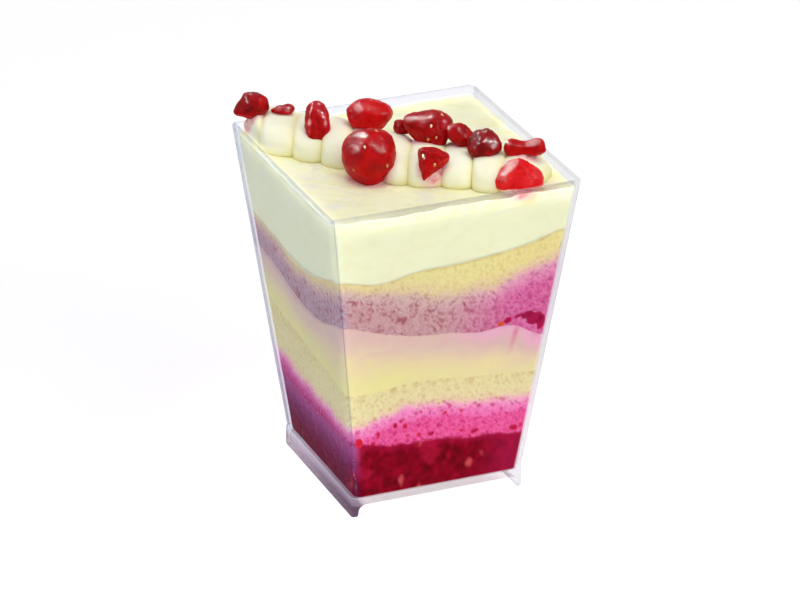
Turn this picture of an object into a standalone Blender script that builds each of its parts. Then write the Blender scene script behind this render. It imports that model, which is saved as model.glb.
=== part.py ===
"""Single-serve layered fruit trifle in a clear, square, tapered plastic cup.

From the bottom up: red fruit compote, a sponge layer, custard, a second
sponge layer, whipped cream, a piped rope of cream along one diagonal and
glossy pieces of red fruit on it.

Frame: origin at the centre of the footprint on the resting plane, +Z up.
The cup's front wall faces -Y. All sizes are in millimetres until MM.
"""
import math

import bmesh
import bpy
from mathutils import Matrix, Vector

for _ob in list(bpy.data.objects):
    bpy.data.objects.remove(_ob, do_unlink=True)

MM = 0.001
ROOT2 = math.sqrt(2.0)

# ---------------------------------------------------------------- sizes (mm)
GAP = 0.30                 # clearance between neighbouring pieces

# cup
RIM_Z = 84.66              # height of the rim above the resting plane
RIM_HALF = 32.5            # outer half side at the rim
FLOOR_Z = 4.93             # top of the cup's floor
FLOOR_HALF = 22.46         # outer half side at the floor
WALL = 1.30                # wall thickness
FLOOR_UNDER = 3.45         # underside of the floor
OUTER_R = 1.7              # outer radius of the upright corners
INNER_R = 0.8              # inner radius of the upright corners
RIM_ROUND = 0.30           # rounding on the rim's two edges

# foot: a floor slab with one rail under its -X side and one under its +X side
FOOT_HALF = 22.62
RAIL_THICK = 1.45
RAIL_FILLET = 1.9          # fillet between the floor's underside and a rail
RAIL_END_R = 1.3           # rounding of the rails' lower end corners
FOOT_CORNER_R = 1.2        # plan rounding of the slab's corners

# Heights where one layer meets the next, at evenly spaced stations. "front" is
# read along the -Y wall from -X to +X, "left" along the -X wall from -Y to +Y.
INTERFACES = {
    "compote_top": dict(front=(20.6, 19.0, 17.9, 17.8, 16.6, 16.3, 15.3),
                        left=(20.6, 20.2, 20.0, 20.4, 20.8)),
    "lower_sponge_top": dict(front=(34.7, 34.8, 35.5, 35.2, 34.2, 33.5, 32.6),
                             left=(34.7, 36.3, 37.6, 39.2, 40.5)),
    "custard_top": dict(front=(54.2, 51.2, 48.7, 47.9, 46.6, 46.9, 42.8),
                        left=(54.2, 50.2, 50.0, 53.0, 54.8)),
    "upper_sponge_top": dict(front=(66.9, 64.8, 66.4, 66.8, 67.7, 69.0, 71.8),
                             left=(66.9, 62.2, 60.6, 61.8, 62.6)),
}
FAR_SIDE_CALM = 0.35       # how much the two far walls flatten out the waves

# top of the cream
CREAM_EDGE_Z = 82.3        # where it meets the walls
CREAM_DISH = 0.75          # how much lower it is in the middle
CREAM_SWIRL = 0.18         # height of the spatula marks

# piped rope along the diagonal from (-X, +Y) to (+X, -Y). T runs along the
# diagonal towards (+X, -Y), S across it towards (-X, -Y).
ROPE_GROOVES = (-42.2, -35.2, -25.9, -18.4, -11.0, -2.4, 5.5, 13.6, 20.9, 27.9,
                36.0)
ROPE_HALF_WIDTH = 9.5
ROPE_HEIGHT = 6.7
ROPE_FRONT = 9.4           # S of the rope's front edge at its ends
ROPE_FRONT_BULGE = 3.6     # how much further forward it is at BULGE_T
BULGE_T, BULGE_WIDTH = 5.0, 13.0
GROOVE_NARROWING = 0.17    # share of the width lost in a groove
GROOVE_DEPTH = 0.15        # share of the height lost in a groove
ROPE_SECTION_POWER = 3.0   # 2 is an ellipse, more is squarer
ROPE_SLANT = 0.30          # T that a roll gains for each millimetre of S

# Fruit pieces: centre (T, S, Z), radii (right, away, up) as seen facing the
# cup's front corner, spin about the away axis, lean about the right axis,
# power (2 round, more is boxier, less is pointed), taper with height, taper to
# the side and the height of the bumps as a share of the radius.
FRUIT = {
    "fruit_01": dict(at=(-40.1, 0.3, 89.9), r=(4.4, 3.4, 3.7), spin=38, lean=10,
                     power=1.5, taper=-0.10, bump=0.05, phase=0.4),
    "fruit_02": dict(at=(-32.7, -2.0, 89.4), r=(2.8, 1.8, 1.25), spin=4, lean=-12,
                     power=2.0, taper=0.0, side_taper=0.25, bump=0.10, phase=1.9),
    "fruit_03": dict(at=(-21.4, 3.2, 90.1), r=(3.0, 2.3, 5.0), spin=3, lean=-30,
                     power=2.7, taper=0.05, bump=0.05, phase=2.6),
    "fruit_04": dict(at=(-10.9, -4.2, 90.6), r=(5.5, 4.0, 3.7), spin=-2, lean=-8,
                     power=2.5, taper=0.10, bump=0.05, phase=3.3),
    "fruit_05": dict(at=(-4.1, 12.2, 87.3), r=(6.45, 5.2, 6.9), spin=0, lean=-12,
                     power=2.25, taper=0.08, bump=0.035, phase=4.1),
    "fruit_06": dict(at=(5.3, -2.2, 90.7), r=(5.5, 4.3, 4.3), spin=-24, lean=-6,
                     power=2.1, taper=0.06, side_taper=0.30, bump=0.05, phase=5.2),
    "fruit_07": dict(at=(-2.0, -2.7, 89.3), r=(1.75, 1.5, 1.9), spin=20, lean=0,
                     power=2.2, taper=0.0, bump=0.10, phase=0.9),
    "fruit_08": dict(at=(14.4, -1.9, 90.3), r=(3.5, 2.5, 2.5), spin=-38, lean=0,
                     power=2.1, taper=-0.10, bump=0.06, phase=1.2),
    "fruit_09": dict(at=(21.1, 1.5, 90.9), r=(3.85, 3.1, 3.4), spin=8, lean=-6,
                     power=2.6, taper=-0.22, bump=0.05, phase=2.2),
    "fruit_10": dict(at=(11.2, 10.6, 87.9), r=(3.7, 2.3, 4.6), spin=-20, lean=-26,
                     power=1.9, taper=0.50, bump=0.05, phase=3.0),
    "fruit_11": dict(at=(30.5, -1.5, 90.1), r=(5.0, 2.6, 2.6), spin=2, lean=-6,
                     power=2.5, taper=0.0, bump=0.04, phase=0.0, saddle=0.42),
    "fruit_12": dict(at=(31.5, 5.4, 85.8), r=(5.7, 3.9, 4.3), spin=4, lean=-10,
                     power=2.1, taper=-0.36, bump=0.04, phase=5.8),
}
FACING = 22.95             # degrees from -Y towards -X that "away" is turned


# ------------------------------------------------------------------- helpers
def material(name, colour, rough, metallic=0.0, alpha=1.0):
    mat = bpy.data.materials.new(name)
    mat.use_nodes = True
    bsdf = mat.node_tree.nodes["Principled BSDF"]
    bsdf.inputs["Base Color"].default_value = (*colour, 1.0)
    bsdf.inputs["Roughness"].default_value = rough
    bsdf.inputs["Metallic"].default_value = metallic
    bsdf.inputs["Alpha"].default_value = alpha
    return mat


def finish(bm, name, mat, smooth_angle=35.0):
    """Turn a bmesh in millimetres into a named object in metres."""
    for v in bm.verts:
        v.co *= MM
    bmesh.ops.recalc_face_normals(bm, faces=bm.faces[:])
    mesh = bpy.data.meshes.new(name)
    bm.to_mesh(mesh)
    bm.free()
    mesh.shade_smooth()
    mesh.set_sharp_from_angle(angle=math.radians(smooth_angle))
    mesh.materials.append(mat)
    ob = bpy.data.objects.new(name, mesh)
    bpy.context.scene.collection.objects.link(ob)
    return ob


def as_guide(ob):
    ob.hide_render = True
    ob.display_type = "WIRE"
    return ob


def boolean(ob, other, kind):
    mod = ob.modifiers.new(kind.lower() + "_" + other.name, "BOOLEAN")
    mod.operation = kind
    mod.solver = "EXACT"
    mod.object = other


def outer_half(z):
    """Outer half side of the tapered walls at height z."""
    k = (z - FLOOR_Z) / (RIM_Z - FLOOR_Z)
    return FLOOR_HALF + (RIM_HALF - FLOOR_HALF) * k


def food_half(z):
    """Half side of the food at height z, clear of the wall."""
    return outer_half(z) - WALL - GAP


def station_curve(values, u):
    """Smooth curve through evenly spaced heights, u from -1 to 1."""
    n = len(values) - 1
    p = min(max((u + 1.0) * 0.5 * n, 0.0), n - 1e-9)
    i = int(p)
    f = p - i
    a, b = values[max(i - 1, 0)], values[i]
    c, d = values[i + 1], values[min(i + 2, n)]
    return b + 0.5 * f * (c - a + f * (2 * a - 5 * b + 4 * c - d
                                       + f * (3 * (b - c) + d - a)))


def interface_z(name, u, v):
    """Height of an interface at the fractions u (X) and v (Y) of the half side."""
    spec = INTERFACES[name]
    corner = spec["front"][0]
    fr = station_curve(spec["front"], u) - corner
    le = station_curve(spec["left"], v) - corner
    mean = sum(spec["front"]) / len(spec["front"]) - corner
    calm_f = FAR_SIDE_CALM * (v + 1.0) * 0.5
    calm_l = FAR_SIDE_CALM * (u + 1.0) * 0.5
    return corner + fr * (1 - calm_f) + mean * calm_f * 0.5 + le * (1 - calm_l)


def cream_z(x, y):
    """Height of the cream's top: lower in the middle, with soft spatula marks."""
    half = food_half(CREAM_EDGE_Z)
    r = max(abs(x), abs(y)) / half
    edge = min(r, 1.0) ** 3
    marks = (math.sin(0.16 * x + 0.11 * y + 0.6) + math.sin(0.21 * y - 0.07 * x)) * 0.5
    return CREAM_EDGE_Z - CREAM_DISH * (1 - edge) + CREAM_SWIRL * marks * (1 - edge)


def ts_to_xy(t, s):
    return (t - s) / ROOT2, (-t - s) / ROOT2


# ----------------------------------------------------------------------- cup
def rounded_square(half, radius, z, steps=3):
    pts = []
    c = half - radius
    for k in range(4):
        a0 = k * math.pi / 2
        cx = c * (1 if k in (0, 3) else -1)
        cy = c * (1 if k in (0, 1) else -1)
        for i in range(steps + 1):
            a = a0 + i / steps * math.pi / 2
            pts.append(Vector((cx + radius * math.cos(a), cy + radius * math.sin(a), z)))
    return pts


def make_walls():
    """Open tapered tube: up the outside, over the rounded rim, down the inside."""
    bm = bmesh.new()
    low = FLOOR_UNDER + 0.75
    rings = [(low, 0.0, OUTER_R, 0.0)]
    for i in range(3):
        a = i / 2 * math.pi / 2
        rings.append((RIM_Z - RIM_ROUND + RIM_ROUND * math.sin(a),
                      RIM_ROUND - RIM_ROUND * math.cos(a), OUTER_R, 0.0))
    for i in range(3):
        a = (1 - i / 2) * math.pi / 2
        rings.append((RIM_Z - RIM_ROUND + RIM_ROUND * math.sin(a),
                      WALL - RIM_ROUND + RIM_ROUND * math.cos(a), INNER_R, 0.0))
    rings.append((low, WALL, INNER_R, 0.0))
    loops = []
    for z, inset, radius, _ in rings:
        loops.append([bm.verts.new(p) for p in
                      rounded_square(outer_half(z) - inset, radius, z)])
    n = len(loops[0])
    for a, b in zip(loops, loops[1:] + loops[:1]):
        for i in range(n):
            j = (i + 1) % n
            bm.faces.new((a[i], a[j], b[j], b[i]))
    return finish(bm, "cup", MAT["cup"], 25.0)


def foot_profile(edge):
    """Half of the foot's section across X. edge is 0 along the length, and runs
    to 1 over the rounded end."""
    drop = FOOT_CORNER_R * (1 - math.sqrt(max(0.0, 1 - edge * edge)))
    lift = RAIL_END_R * (1 - math.sqrt(max(0.0, 1 - edge * edge)))
    xo = FOOT_HALF - drop
    xi = FOOT_HALF - RAIL_THICK
    k = (xo - xi) / RAIL_THICK           # the rail's thickness left at this station
    pts = [(xo, FLOOR_Z), (xo, lift + 0.30 * k), (xo - 0.09 * k, lift + 0.09 * k),
           (xo - 0.30 * k, lift), (xi + 0.15 * k, lift), (xi, lift + 0.2 * k)]
    for i in range(5):
        a = i / 4 * math.pi / 2
        pts.append((xi - RAIL_FILLET * (1 - math.cos(a)),
                    FLOOR_UNDER - RAIL_FILLET * (1 - math.sin(a))))
    return pts


def make_foot():
    bm = bmesh.new()
    stations = []
    for e in (1.0, 0.92, 0.71, 0.38, 0.0):
        stations.append((-(FOOT_HALF - RAIL_END_R + RAIL_END_R * e), e))
    stations += [(-y, e) for y, e in reversed(stations)]
    loops = []
    for y, e in stations:
        half = foot_profile(e)
        ring = [(x, z) for x, z in half] + [(-x, z) for x, z in reversed(half)]
        loops.append([bm.verts.new((x, y, z)) for x, z in ring])
    n = len(loops[0])
    for a, b in zip(loops, loops[1:]):
        for i in range(n):
            j = (i + 1) % n
            bm.faces.new((a[i], a[j], b[j], b[i]))
    m = n // 2
    for ring in (loops[0], loops[-1]):   # end faces: a fan per rail, one quad between
        for side in (ring[:m], ring[:m - 1:-1]):
            for i in range(1, m - 1):
                bm.faces.new((side[0], side[i], side[i + 1]))
        bm.faces.new((ring[0], ring[m - 1], ring[m], ring[-1]))
    return as_guide(finish(bm, "cup_foot_guide", MAT["cup"], 25.0))


# -------------------------------------------------------------------- layers
def layer(name, z_low, z_high, mat, cells=8):
    """Solid that fills the cup between two height functions of (u, v)."""
    bm = bmesh.new()
    sheets = []
    for fn, shift in ((z_low, GAP / 2), (z_high, -GAP / 2)):
        grid = []
        for j in range(cells + 1):
            row = []
            for i in range(cells + 1):
                u, v = 2 * i / cells - 1, 2 * j / cells - 1
                z = fn(u, v) + shift
                half = food_half(z)
                pull = 0.93 if abs(u) == 1 and abs(v) == 1 else 1.0
                shrink = half - (1 - pull) * INNER_R * 6
                row.append(bm.verts.new((u * shrink, v * shrink, z)))
            grid.append(row)
        sheets.append(grid)
    for grid in sheets:
        for j in range(cells):
            for i in range(cells):
                bm.faces.new((grid[j][i], grid[j][i + 1], grid[j + 1][i + 1], grid[j + 1][i]))
    rim = ([(0, i) for i in range(cells)] + [(j, cells) for j in range(cells)]
           + [(cells, cells - i) for i in range(cells)] + [(cells - j, 0) for j in range(cells)])
    low, high = sheets
    for k, (j, i) in enumerate(rim):
        jn, in_ = rim[(k + 1) % len(rim)]
        bm.faces.new((low[j][i], low[jn][in_], high[jn][in_], high[j][i]))
    return finish(bm, name, mat, 40.0)


# -------------------------------------------------------------- piped rope
def lobe(t):
    """0 in a groove between two rolls, 1 on a roll's crown."""
    for a, b in zip(ROPE_GROOVES, ROPE_GROOVES[1:]):
        if a <= t <= b:
            w = abs(2 * (t - a) / (b - a) - 1)
            return max(0.0, 1 - w ** 2.6) ** (1 / 2.2)
    return 0.0


def rope_section(t):
    """Middle S, half width and height of the rope at T."""
    k = lobe(t)
    front = ROPE_FRONT + ROPE_FRONT_BULGE * math.exp(-((t - BULGE_T) / BULGE_WIDTH) ** 2)
    centre = front - ROPE_HALF_WIDTH
    width = ROPE_HALF_WIDTH * (1 - GROOVE_NARROWING * (1 - k))
    height = ROPE_HEIGHT * (1 - GROOVE_DEPTH * (1 - k))
    # both ends run into the cup's corners, where there is less room
    room = RIM_HALF * ROOT2 - 3.6 - abs(t)
    width = min(width, room - abs(centre))
    end = min(1.0, max(0.0, (t - ROPE_GROOVES[0]) / 5.0),
              max(0.0, (ROPE_GROOVES[-1] - t) / 4.0))
    height *= 0.42 + 0.58 * end ** 0.6
    width *= 0.80 + 0.20 * min(1.0, max(0.0, (ROPE_GROOVES[-1] - t) / 3.0)) ** 0.5
    return centre, width, height


def inside_walls(x, y):
    """Where the rope meets a wall it lies flat along it."""
    lim = food_half(CREAM_EDGE_Z - 1.0)
    return min(max(x, -lim), lim), min(max(y, -lim), lim)


def slanted(t, behind):
    """T of a roll at a distance behind its front end (negative). The slant dies
    out at the two corners of the cup."""
    ease = 1 - (max(0.0, abs(t + 4.0) - 24.0) / 16.0) ** 2
    return t + ROPE_SLANT * behind * max(0.0, ease)


def make_rope(name, mat, raise_by=0.0, widen=0.0, around=14):
    bm = bmesh.new()
    stations = []
    for a, b in zip(ROPE_GROOVES, ROPE_GROOVES[1:]):
        stations += [a, a + 0.14 * (b - a), a + 0.36 * (b - a),
                     a + 0.64 * (b - a), a + 0.86 * (b - a)]
    stations.append(ROPE_GROOVES[-1])
    stations[0] -= widen
    stations[-1] += widen
    loops = []
    for t in stations:
        tt = min(max(t, ROPE_GROOVES[0] + 0.3), ROPE_GROOVES[-1] - 0.3)
        centre, width, height = rope_section(tt)
        width += widen
        ring = []
        for i in range(around + 1):
            a = math.pi * i / around
            c, s = math.cos(a), math.sin(a)
            e = 2.0 / ROPE_SECTION_POWER
            off = width * math.copysign(abs(c) ** e, c)
            up = height * abs(s) ** e
            x, y = inside_walls(*ts_to_xy(slanted(t, off - width), centre + off))
            ring.append(bm.verts.new((x, y, cream_z(x, y) + GAP + up + raise_by)))
        for i in range(1, 6):
            off = width * (-1 + 2 * i / 6)
            x, y = inside_walls(*ts_to_xy(slanted(t, off - width), centre + off))
            ring.append(bm.verts.new((x, y, cream_z(x, y) + GAP - (2.0 if raise_by else 0.0))))
        if raise_by:
            for v in (ring[0], ring[around]):
                v.co.z -= 2.0 + raise_by
        loops.append(ring)
    n = len(loops[0])
    for a, b in zip(loops, loops[1:]):
        for i in range(n):
            j = (i + 1) % n
            bm.faces.new((a[i], a[j], b[j], b[i]))
    for ring in (loops[0], loops[-1]):
        bm.faces.new(ring)
    bmesh.ops.triangulate(bm, faces=bm.faces[:])
    return finish(bm, name, mat, 60.0)


# --------------------------------------------------------------------- fruit
def fruit_point(n, spec, grow=0.0):
    """Surface point for a unit direction: a superellipsoid with a taper, an
    optional saddle across the top, and soft bumps."""
    p = spec["power"]
    k = (abs(n.x) ** p + abs(n.y) ** p + abs(n.z) ** p) ** (-1.0 / p)
    ph = spec["phase"]
    bump = (math.sin(3.1 * n.x + 2.3 * n.z + ph) * math.sin(2.7 * n.y - 1.9 * n.z + 2 * ph)
            + 0.6 * math.sin(5.3 * n.x - 4.1 * n.y + 3 * ph)
            + 0.5 * math.sin(6.1 * n.z + 3.7 * n.x + 5 * ph)) / 1.6
    k *= 1 + spec["bump"] * bump
    q = n * k
    taper = 1 + spec["taper"] * q.z
    side = 1 + spec.get("side_taper", 0.0) * q.x
    saddle = spec.get("saddle", 0.0)
    thin = 1 - saddle * math.exp(-(q.x / 0.45) ** 2)
    rx, ry, rz = (r + grow for r in spec["r"])
    return Vector((q.x * rx * taper, q.y * ry * taper * thin * side, q.z * rz * thin * side))


def make_fruit(name, spec, mat, grow=0.0, subdivisions=3):
    bm = bmesh.new()
    bmesh.ops.create_icosphere(bm, subdivisions=subdivisions, radius=1.0)
    t, s, z = spec["at"]
    x, y = ts_to_xy(t, s)
    turn = (Matrix.Rotation(math.radians(-FACING), 3, "Z")
            @ Matrix.Rotation(math.radians(spec["lean"]), 3, "X")
            @ Matrix.Rotation(math.radians(-spec["spin"]), 3, "Y"))
    for v in bm.verts:
        v.co = turn @ fruit_point(v.co.normalized(), spec, grow) + Vector((x, y, z))
    return finish(bm, name, mat, 80.0)


# ------------------------------------------------------------------ assembly
MAT = {
    "cup": material("cup", (0.86, 0.88, 0.92), 0.06, alpha=0.3),
    "compote": material("compote", (0.30, 0.004, 0.03), 0.25),
    "sponge": material("sponge", (0.75, 0.45, 0.30), 0.9),
    "custard": material("custard", (0.80, 0.66, 0.36), 0.45),
    "cream": material("cream", (0.90, 0.86, 0.66), 0.5),
    "fruit": material("fruit", (0.50, 0.005, 0.008), 0.12),
}


cup = make_walls()
foot = make_foot()
boolean(cup, foot, "UNION")


def floor_plane(u, v):
    return FLOOR_Z + GAP / 2


def level(name):
    return lambda u, v: interface_z(name, u, v)


def cream_top(u, v):
    half = food_half(CREAM_EDGE_Z)
    return cream_z(u * half, v * half) + GAP / 2


layer("compote", floor_plane, level("compote_top"), MAT["compote"])
layer("sponge_lower", level("compote_top"), level("lower_sponge_top"), MAT["sponge"])
layer("custard", level("lower_sponge_top"), level("custard_top"), MAT["custard"])
layer("sponge_upper", level("custard_top"), level("upper_sponge_top"), MAT["sponge"])
layer("cream", level("upper_sponge_top"), cream_top, MAT["cream"])
make_rope("piping", MAT["cream"])

# The fruit is pressed into the cream: each piece is cut back to GAP above the
# rope and the cream, and to GAP from the piece it leans on.
rope_cut = as_guide(make_rope("rope_cut_guide", MAT["cream"], raise_by=GAP, widen=GAP))


def raised_cream():
    bm = bmesh.new()
    cells = 14
    half = RIM_HALF + 4
    sheets = []
    for lift in (-6.0, GAP):
        sheets.append([[bm.verts.new((half * (2 * i / cells - 1), half * (2 * j / cells - 1),
                                      cream_z(half * (2 * i / cells - 1),
                                              half * (2 * j / cells - 1)) + lift + 0.1))
                        for i in range(cells + 1)] for j in range(cells + 1)])
    for grid in sheets:
        for j in range(cells):
            for i in range(cells):
                bm.faces.new((grid[j][i], grid[j][i + 1], grid[j + 1][i + 1], grid[j + 1][i]))
    rim = ([(0, i) for i in range(cells)] + [(j, cells) for j in range(cells)]
           + [(cells, cells - i) for i in range(cells)] + [(cells - j, 0) for j in range(cells)])
    for k, (j, i) in enumerate(rim):
        jn, in_ = rim[(k + 1) % len(rim)]
        bm.faces.new((sheets[0][j][i], sheets[0][jn][in_], sheets[1][jn][in_], sheets[1][j][i]))
    return as_guide(finish(bm, "cream_cut_guide", MAT["cream"]))


cream_cut = raised_cream()

LEANS_ON = {               # piece: the pieces it is cut back from
    "fruit_02": ("fruit_01",),
    "fruit_04": ("fruit_05",),
    "fruit_07": ("fruit_06",),
    "fruit_08": ("fruit_06", "fruit_09"),
    "fruit_11": ("fruit_12", "fruit_09"),
    "fruit_10": ("fruit_06",),
}
for name, spec in FRUIT.items():
    piece = make_fruit(name, spec, MAT["fruit"], subdivisions=2 if max(spec["r"]) < 5.0 else 3)
    boolean(piece, rope_cut, "DIFFERENCE")
    boolean(piece, cream_cut, "DIFFERENCE")
    for other in LEANS_ON.get(name, ()):
        guide = as_guide(make_fruit(name + "_from_" + other, FRUIT[other], MAT["fruit"],
                                    grow=GAP + 0.1, subdivisions=2))
        boolean(piece, guide, "DIFFERENCE")
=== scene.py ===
"""Looks for the layered fruit trifle in its clear square cup."""

import math

import bmesh
import bpy
import numpy as np
from mathutils import Matrix, Vector


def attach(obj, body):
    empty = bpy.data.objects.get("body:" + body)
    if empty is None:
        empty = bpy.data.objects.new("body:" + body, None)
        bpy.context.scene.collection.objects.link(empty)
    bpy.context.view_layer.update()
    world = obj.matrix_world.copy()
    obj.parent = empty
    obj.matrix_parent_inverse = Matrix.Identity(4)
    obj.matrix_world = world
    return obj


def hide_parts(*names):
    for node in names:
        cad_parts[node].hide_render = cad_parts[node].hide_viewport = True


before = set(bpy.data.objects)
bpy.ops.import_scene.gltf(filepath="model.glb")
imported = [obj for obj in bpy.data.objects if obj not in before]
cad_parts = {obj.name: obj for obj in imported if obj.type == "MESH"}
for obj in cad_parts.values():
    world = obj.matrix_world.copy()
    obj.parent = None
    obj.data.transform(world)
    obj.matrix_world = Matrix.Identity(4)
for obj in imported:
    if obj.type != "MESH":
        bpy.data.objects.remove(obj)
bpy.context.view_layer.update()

MM = 0.001
ROOT2 = math.sqrt(2.0)

# ------------------------------------------------------- the part's own sizes, mm
GAP = 0.30
RIM_Z, RIM_HALF = 84.66, 32.5
FLOOR_Z, FLOOR_HALF = 4.93, 22.46
WALL, FLOOR_UNDER = 1.30, 3.45
OUTER_R, INNER_R, RIM_ROUND = 1.7, 0.8, 0.30
FOOT_HALF, RAIL_THICK, RAIL_FILLET = 22.62, 1.45, 1.9
RAIL_END_R, FOOT_CORNER_R = 1.3, 1.2

INTERFACES = {
    "compote_top": dict(front=(20.6, 19.0, 17.9, 17.8, 16.6, 16.3, 15.3),
                        left=(20.6, 20.2, 20.0, 20.4, 20.8)),
    "lower_sponge_top": dict(front=(34.7, 34.8, 35.5, 35.2, 34.2, 33.5, 32.6),
                             left=(34.7, 36.3, 37.6, 39.2, 40.5)),
    "custard_top": dict(front=(54.2, 51.2, 48.7, 47.9, 46.6, 46.9, 42.8),
                        left=(54.2, 50.2, 50.0, 53.0, 54.8)),
    "upper_sponge_top": dict(front=(66.9, 64.8, 66.4, 66.8, 67.7, 69.0, 71.8),
                             left=(66.9, 62.2, 60.6, 61.8, 62.6)),
}
FAR_SIDE_CALM = 0.35
CREAM_EDGE_Z, CREAM_DISH, CREAM_SWIRL = 82.3, 0.75, 0.18

ROPE_GROOVES = (-42.2, -35.2, -25.9, -18.4, -11.0, -2.4, 5.5, 13.6, 20.9, 27.9,
                36.0)
ROPE_HALF_WIDTH, ROPE_HEIGHT = 9.5, 6.7
ROPE_FRONT, ROPE_FRONT_BULGE = 9.4, 3.6
BULGE_T, BULGE_WIDTH = 5.0, 13.0
GROOVE_NARROWING, GROOVE_DEPTH = 0.16, 0.14
ROPE_SECTION_POWER, ROPE_SLANT = 3.0, 0.30
FACING = 22.95

FRUIT = {
    "fruit_01": dict(at=(-40.1, 0.3, 89.9), r=(4.7, 3.5, 3.9), spin=24, lean=10,
                     power=1.45, taper=0.04, side_taper=0.28, bump=0.05, phase=0.4),
    "fruit_02": dict(at=(-32.7, -2.0, 89.4), r=(2.8, 1.8, 1.25), spin=4, lean=-12,
                     power=2.0, taper=0.0, side_taper=0.25, bump=0.10, phase=1.9),
    "fruit_03": dict(at=(-21.4, 3.2, 90.1), r=(3.0, 2.3, 5.0), spin=3, lean=-30,
                     power=2.7, taper=0.05, bump=0.05, phase=2.6),
    "fruit_04": dict(at=(-10.9, -4.2, 90.6), r=(5.5, 4.0, 3.7), spin=-2, lean=-8,
                     power=2.5, taper=0.10, bump=0.05, phase=3.3),
    "fruit_05": dict(at=(-4.1, 12.2, 87.3), r=(6.45, 5.2, 6.9), spin=0, lean=-12,
                     power=2.25, taper=0.08, bump=0.035, phase=4.1),
    "fruit_06": dict(at=(4.9, -2.2, 90.7), r=(6.2, 4.3, 4.5), spin=-20, lean=-6,
                     power=2.1, taper=0.02, side_taper=0.42, bump=0.05, phase=5.2),
    "fruit_07": dict(at=(-1.9, -2.7, 89.4), r=(2.0, 1.6, 2.1), spin=20, lean=0,
                     power=2.2, taper=0.0, bump=0.10, phase=0.9),
    "fruit_08": dict(at=(14.0, -1.9, 90.3), r=(4.3, 2.6, 2.6), spin=-38, lean=0,
                     power=2.1, taper=-0.10, bump=0.06, phase=1.2),
    "fruit_09": dict(at=(21.1, 1.5, 90.9), r=(3.85, 3.1, 3.4), spin=8, lean=-6,
                     power=2.6, taper=-0.22, bump=0.05, phase=2.2),
    "fruit_10": dict(at=(11.2, 10.6, 87.9), r=(3.7, 2.3, 4.6), spin=-20, lean=-26,
                     power=1.9, taper=0.50, bump=0.05, phase=3.0),
    "fruit_11": dict(at=(30.5, -1.5, 90.1), r=(5.0, 2.6, 2.6), spin=2, lean=-6,
                     power=2.5, taper=0.0, bump=0.04, phase=0.0, saddle=0.42),
    "fruit_12": dict(at=(31.5, 5.4, 85.8), r=(5.7, 3.9, 4.3), spin=4, lean=-10,
                     power=2.1, taper=-0.36, bump=0.04, phase=5.8),
}
# how bright each piece is (0 dark wine red, 1 bright cut flesh) and its seeds
FRUIT_LOOK = {
    "fruit_01": (0.22, ()), "fruit_02": (0.40, ()), "fruit_03": (0.40, ((0.1, 0.9, 0.2),)),
    "fruit_04": (0.72, ((0.5, 0.75, 0.3), (-0.4, 0.8, -0.1), (0.05, 0.2, 0.97))),
    "fruit_05": (0.42, ((-0.15, -0.85, 0.46), (0.72, -0.62, -0.26), (-0.62, -0.62, -0.40),
                        (0.25, -0.2, 0.94), (-0.8, 0.45, 0.3), (0.6, 0.75, 0.2), (0.0, 0.9, -0.3))),
    "fruit_06": (0.32, ((0.10, -0.90, 0.42), (0.42, -0.90, -0.05), (0.16, -0.95, -0.32),
                        (0.35, -0.3, 0.88), (-0.6, 0.7, 0.3), (0.3, 0.9, 0.1))),
    "fruit_07": (0.25, ()), "fruit_08": (0.34, ((0.2, 0.9, 0.3),)),
    "fruit_09": (0.12, ((-0.5, 0.8, 0.2), (0.5, 0.8, -0.1))),
    "fruit_10": (0.42, ((-0.62, -0.75, 0.15), (0.50, -0.80, -0.20), (0.1, 0.9, 0.3))),
    "fruit_11": (0.52, ()),
    "fruit_12": (0.95, ((0.75, 0.5, 0.3), (-0.6, 0.7, 0.3), (0.1, 0.95, -0.1))),
}

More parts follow.
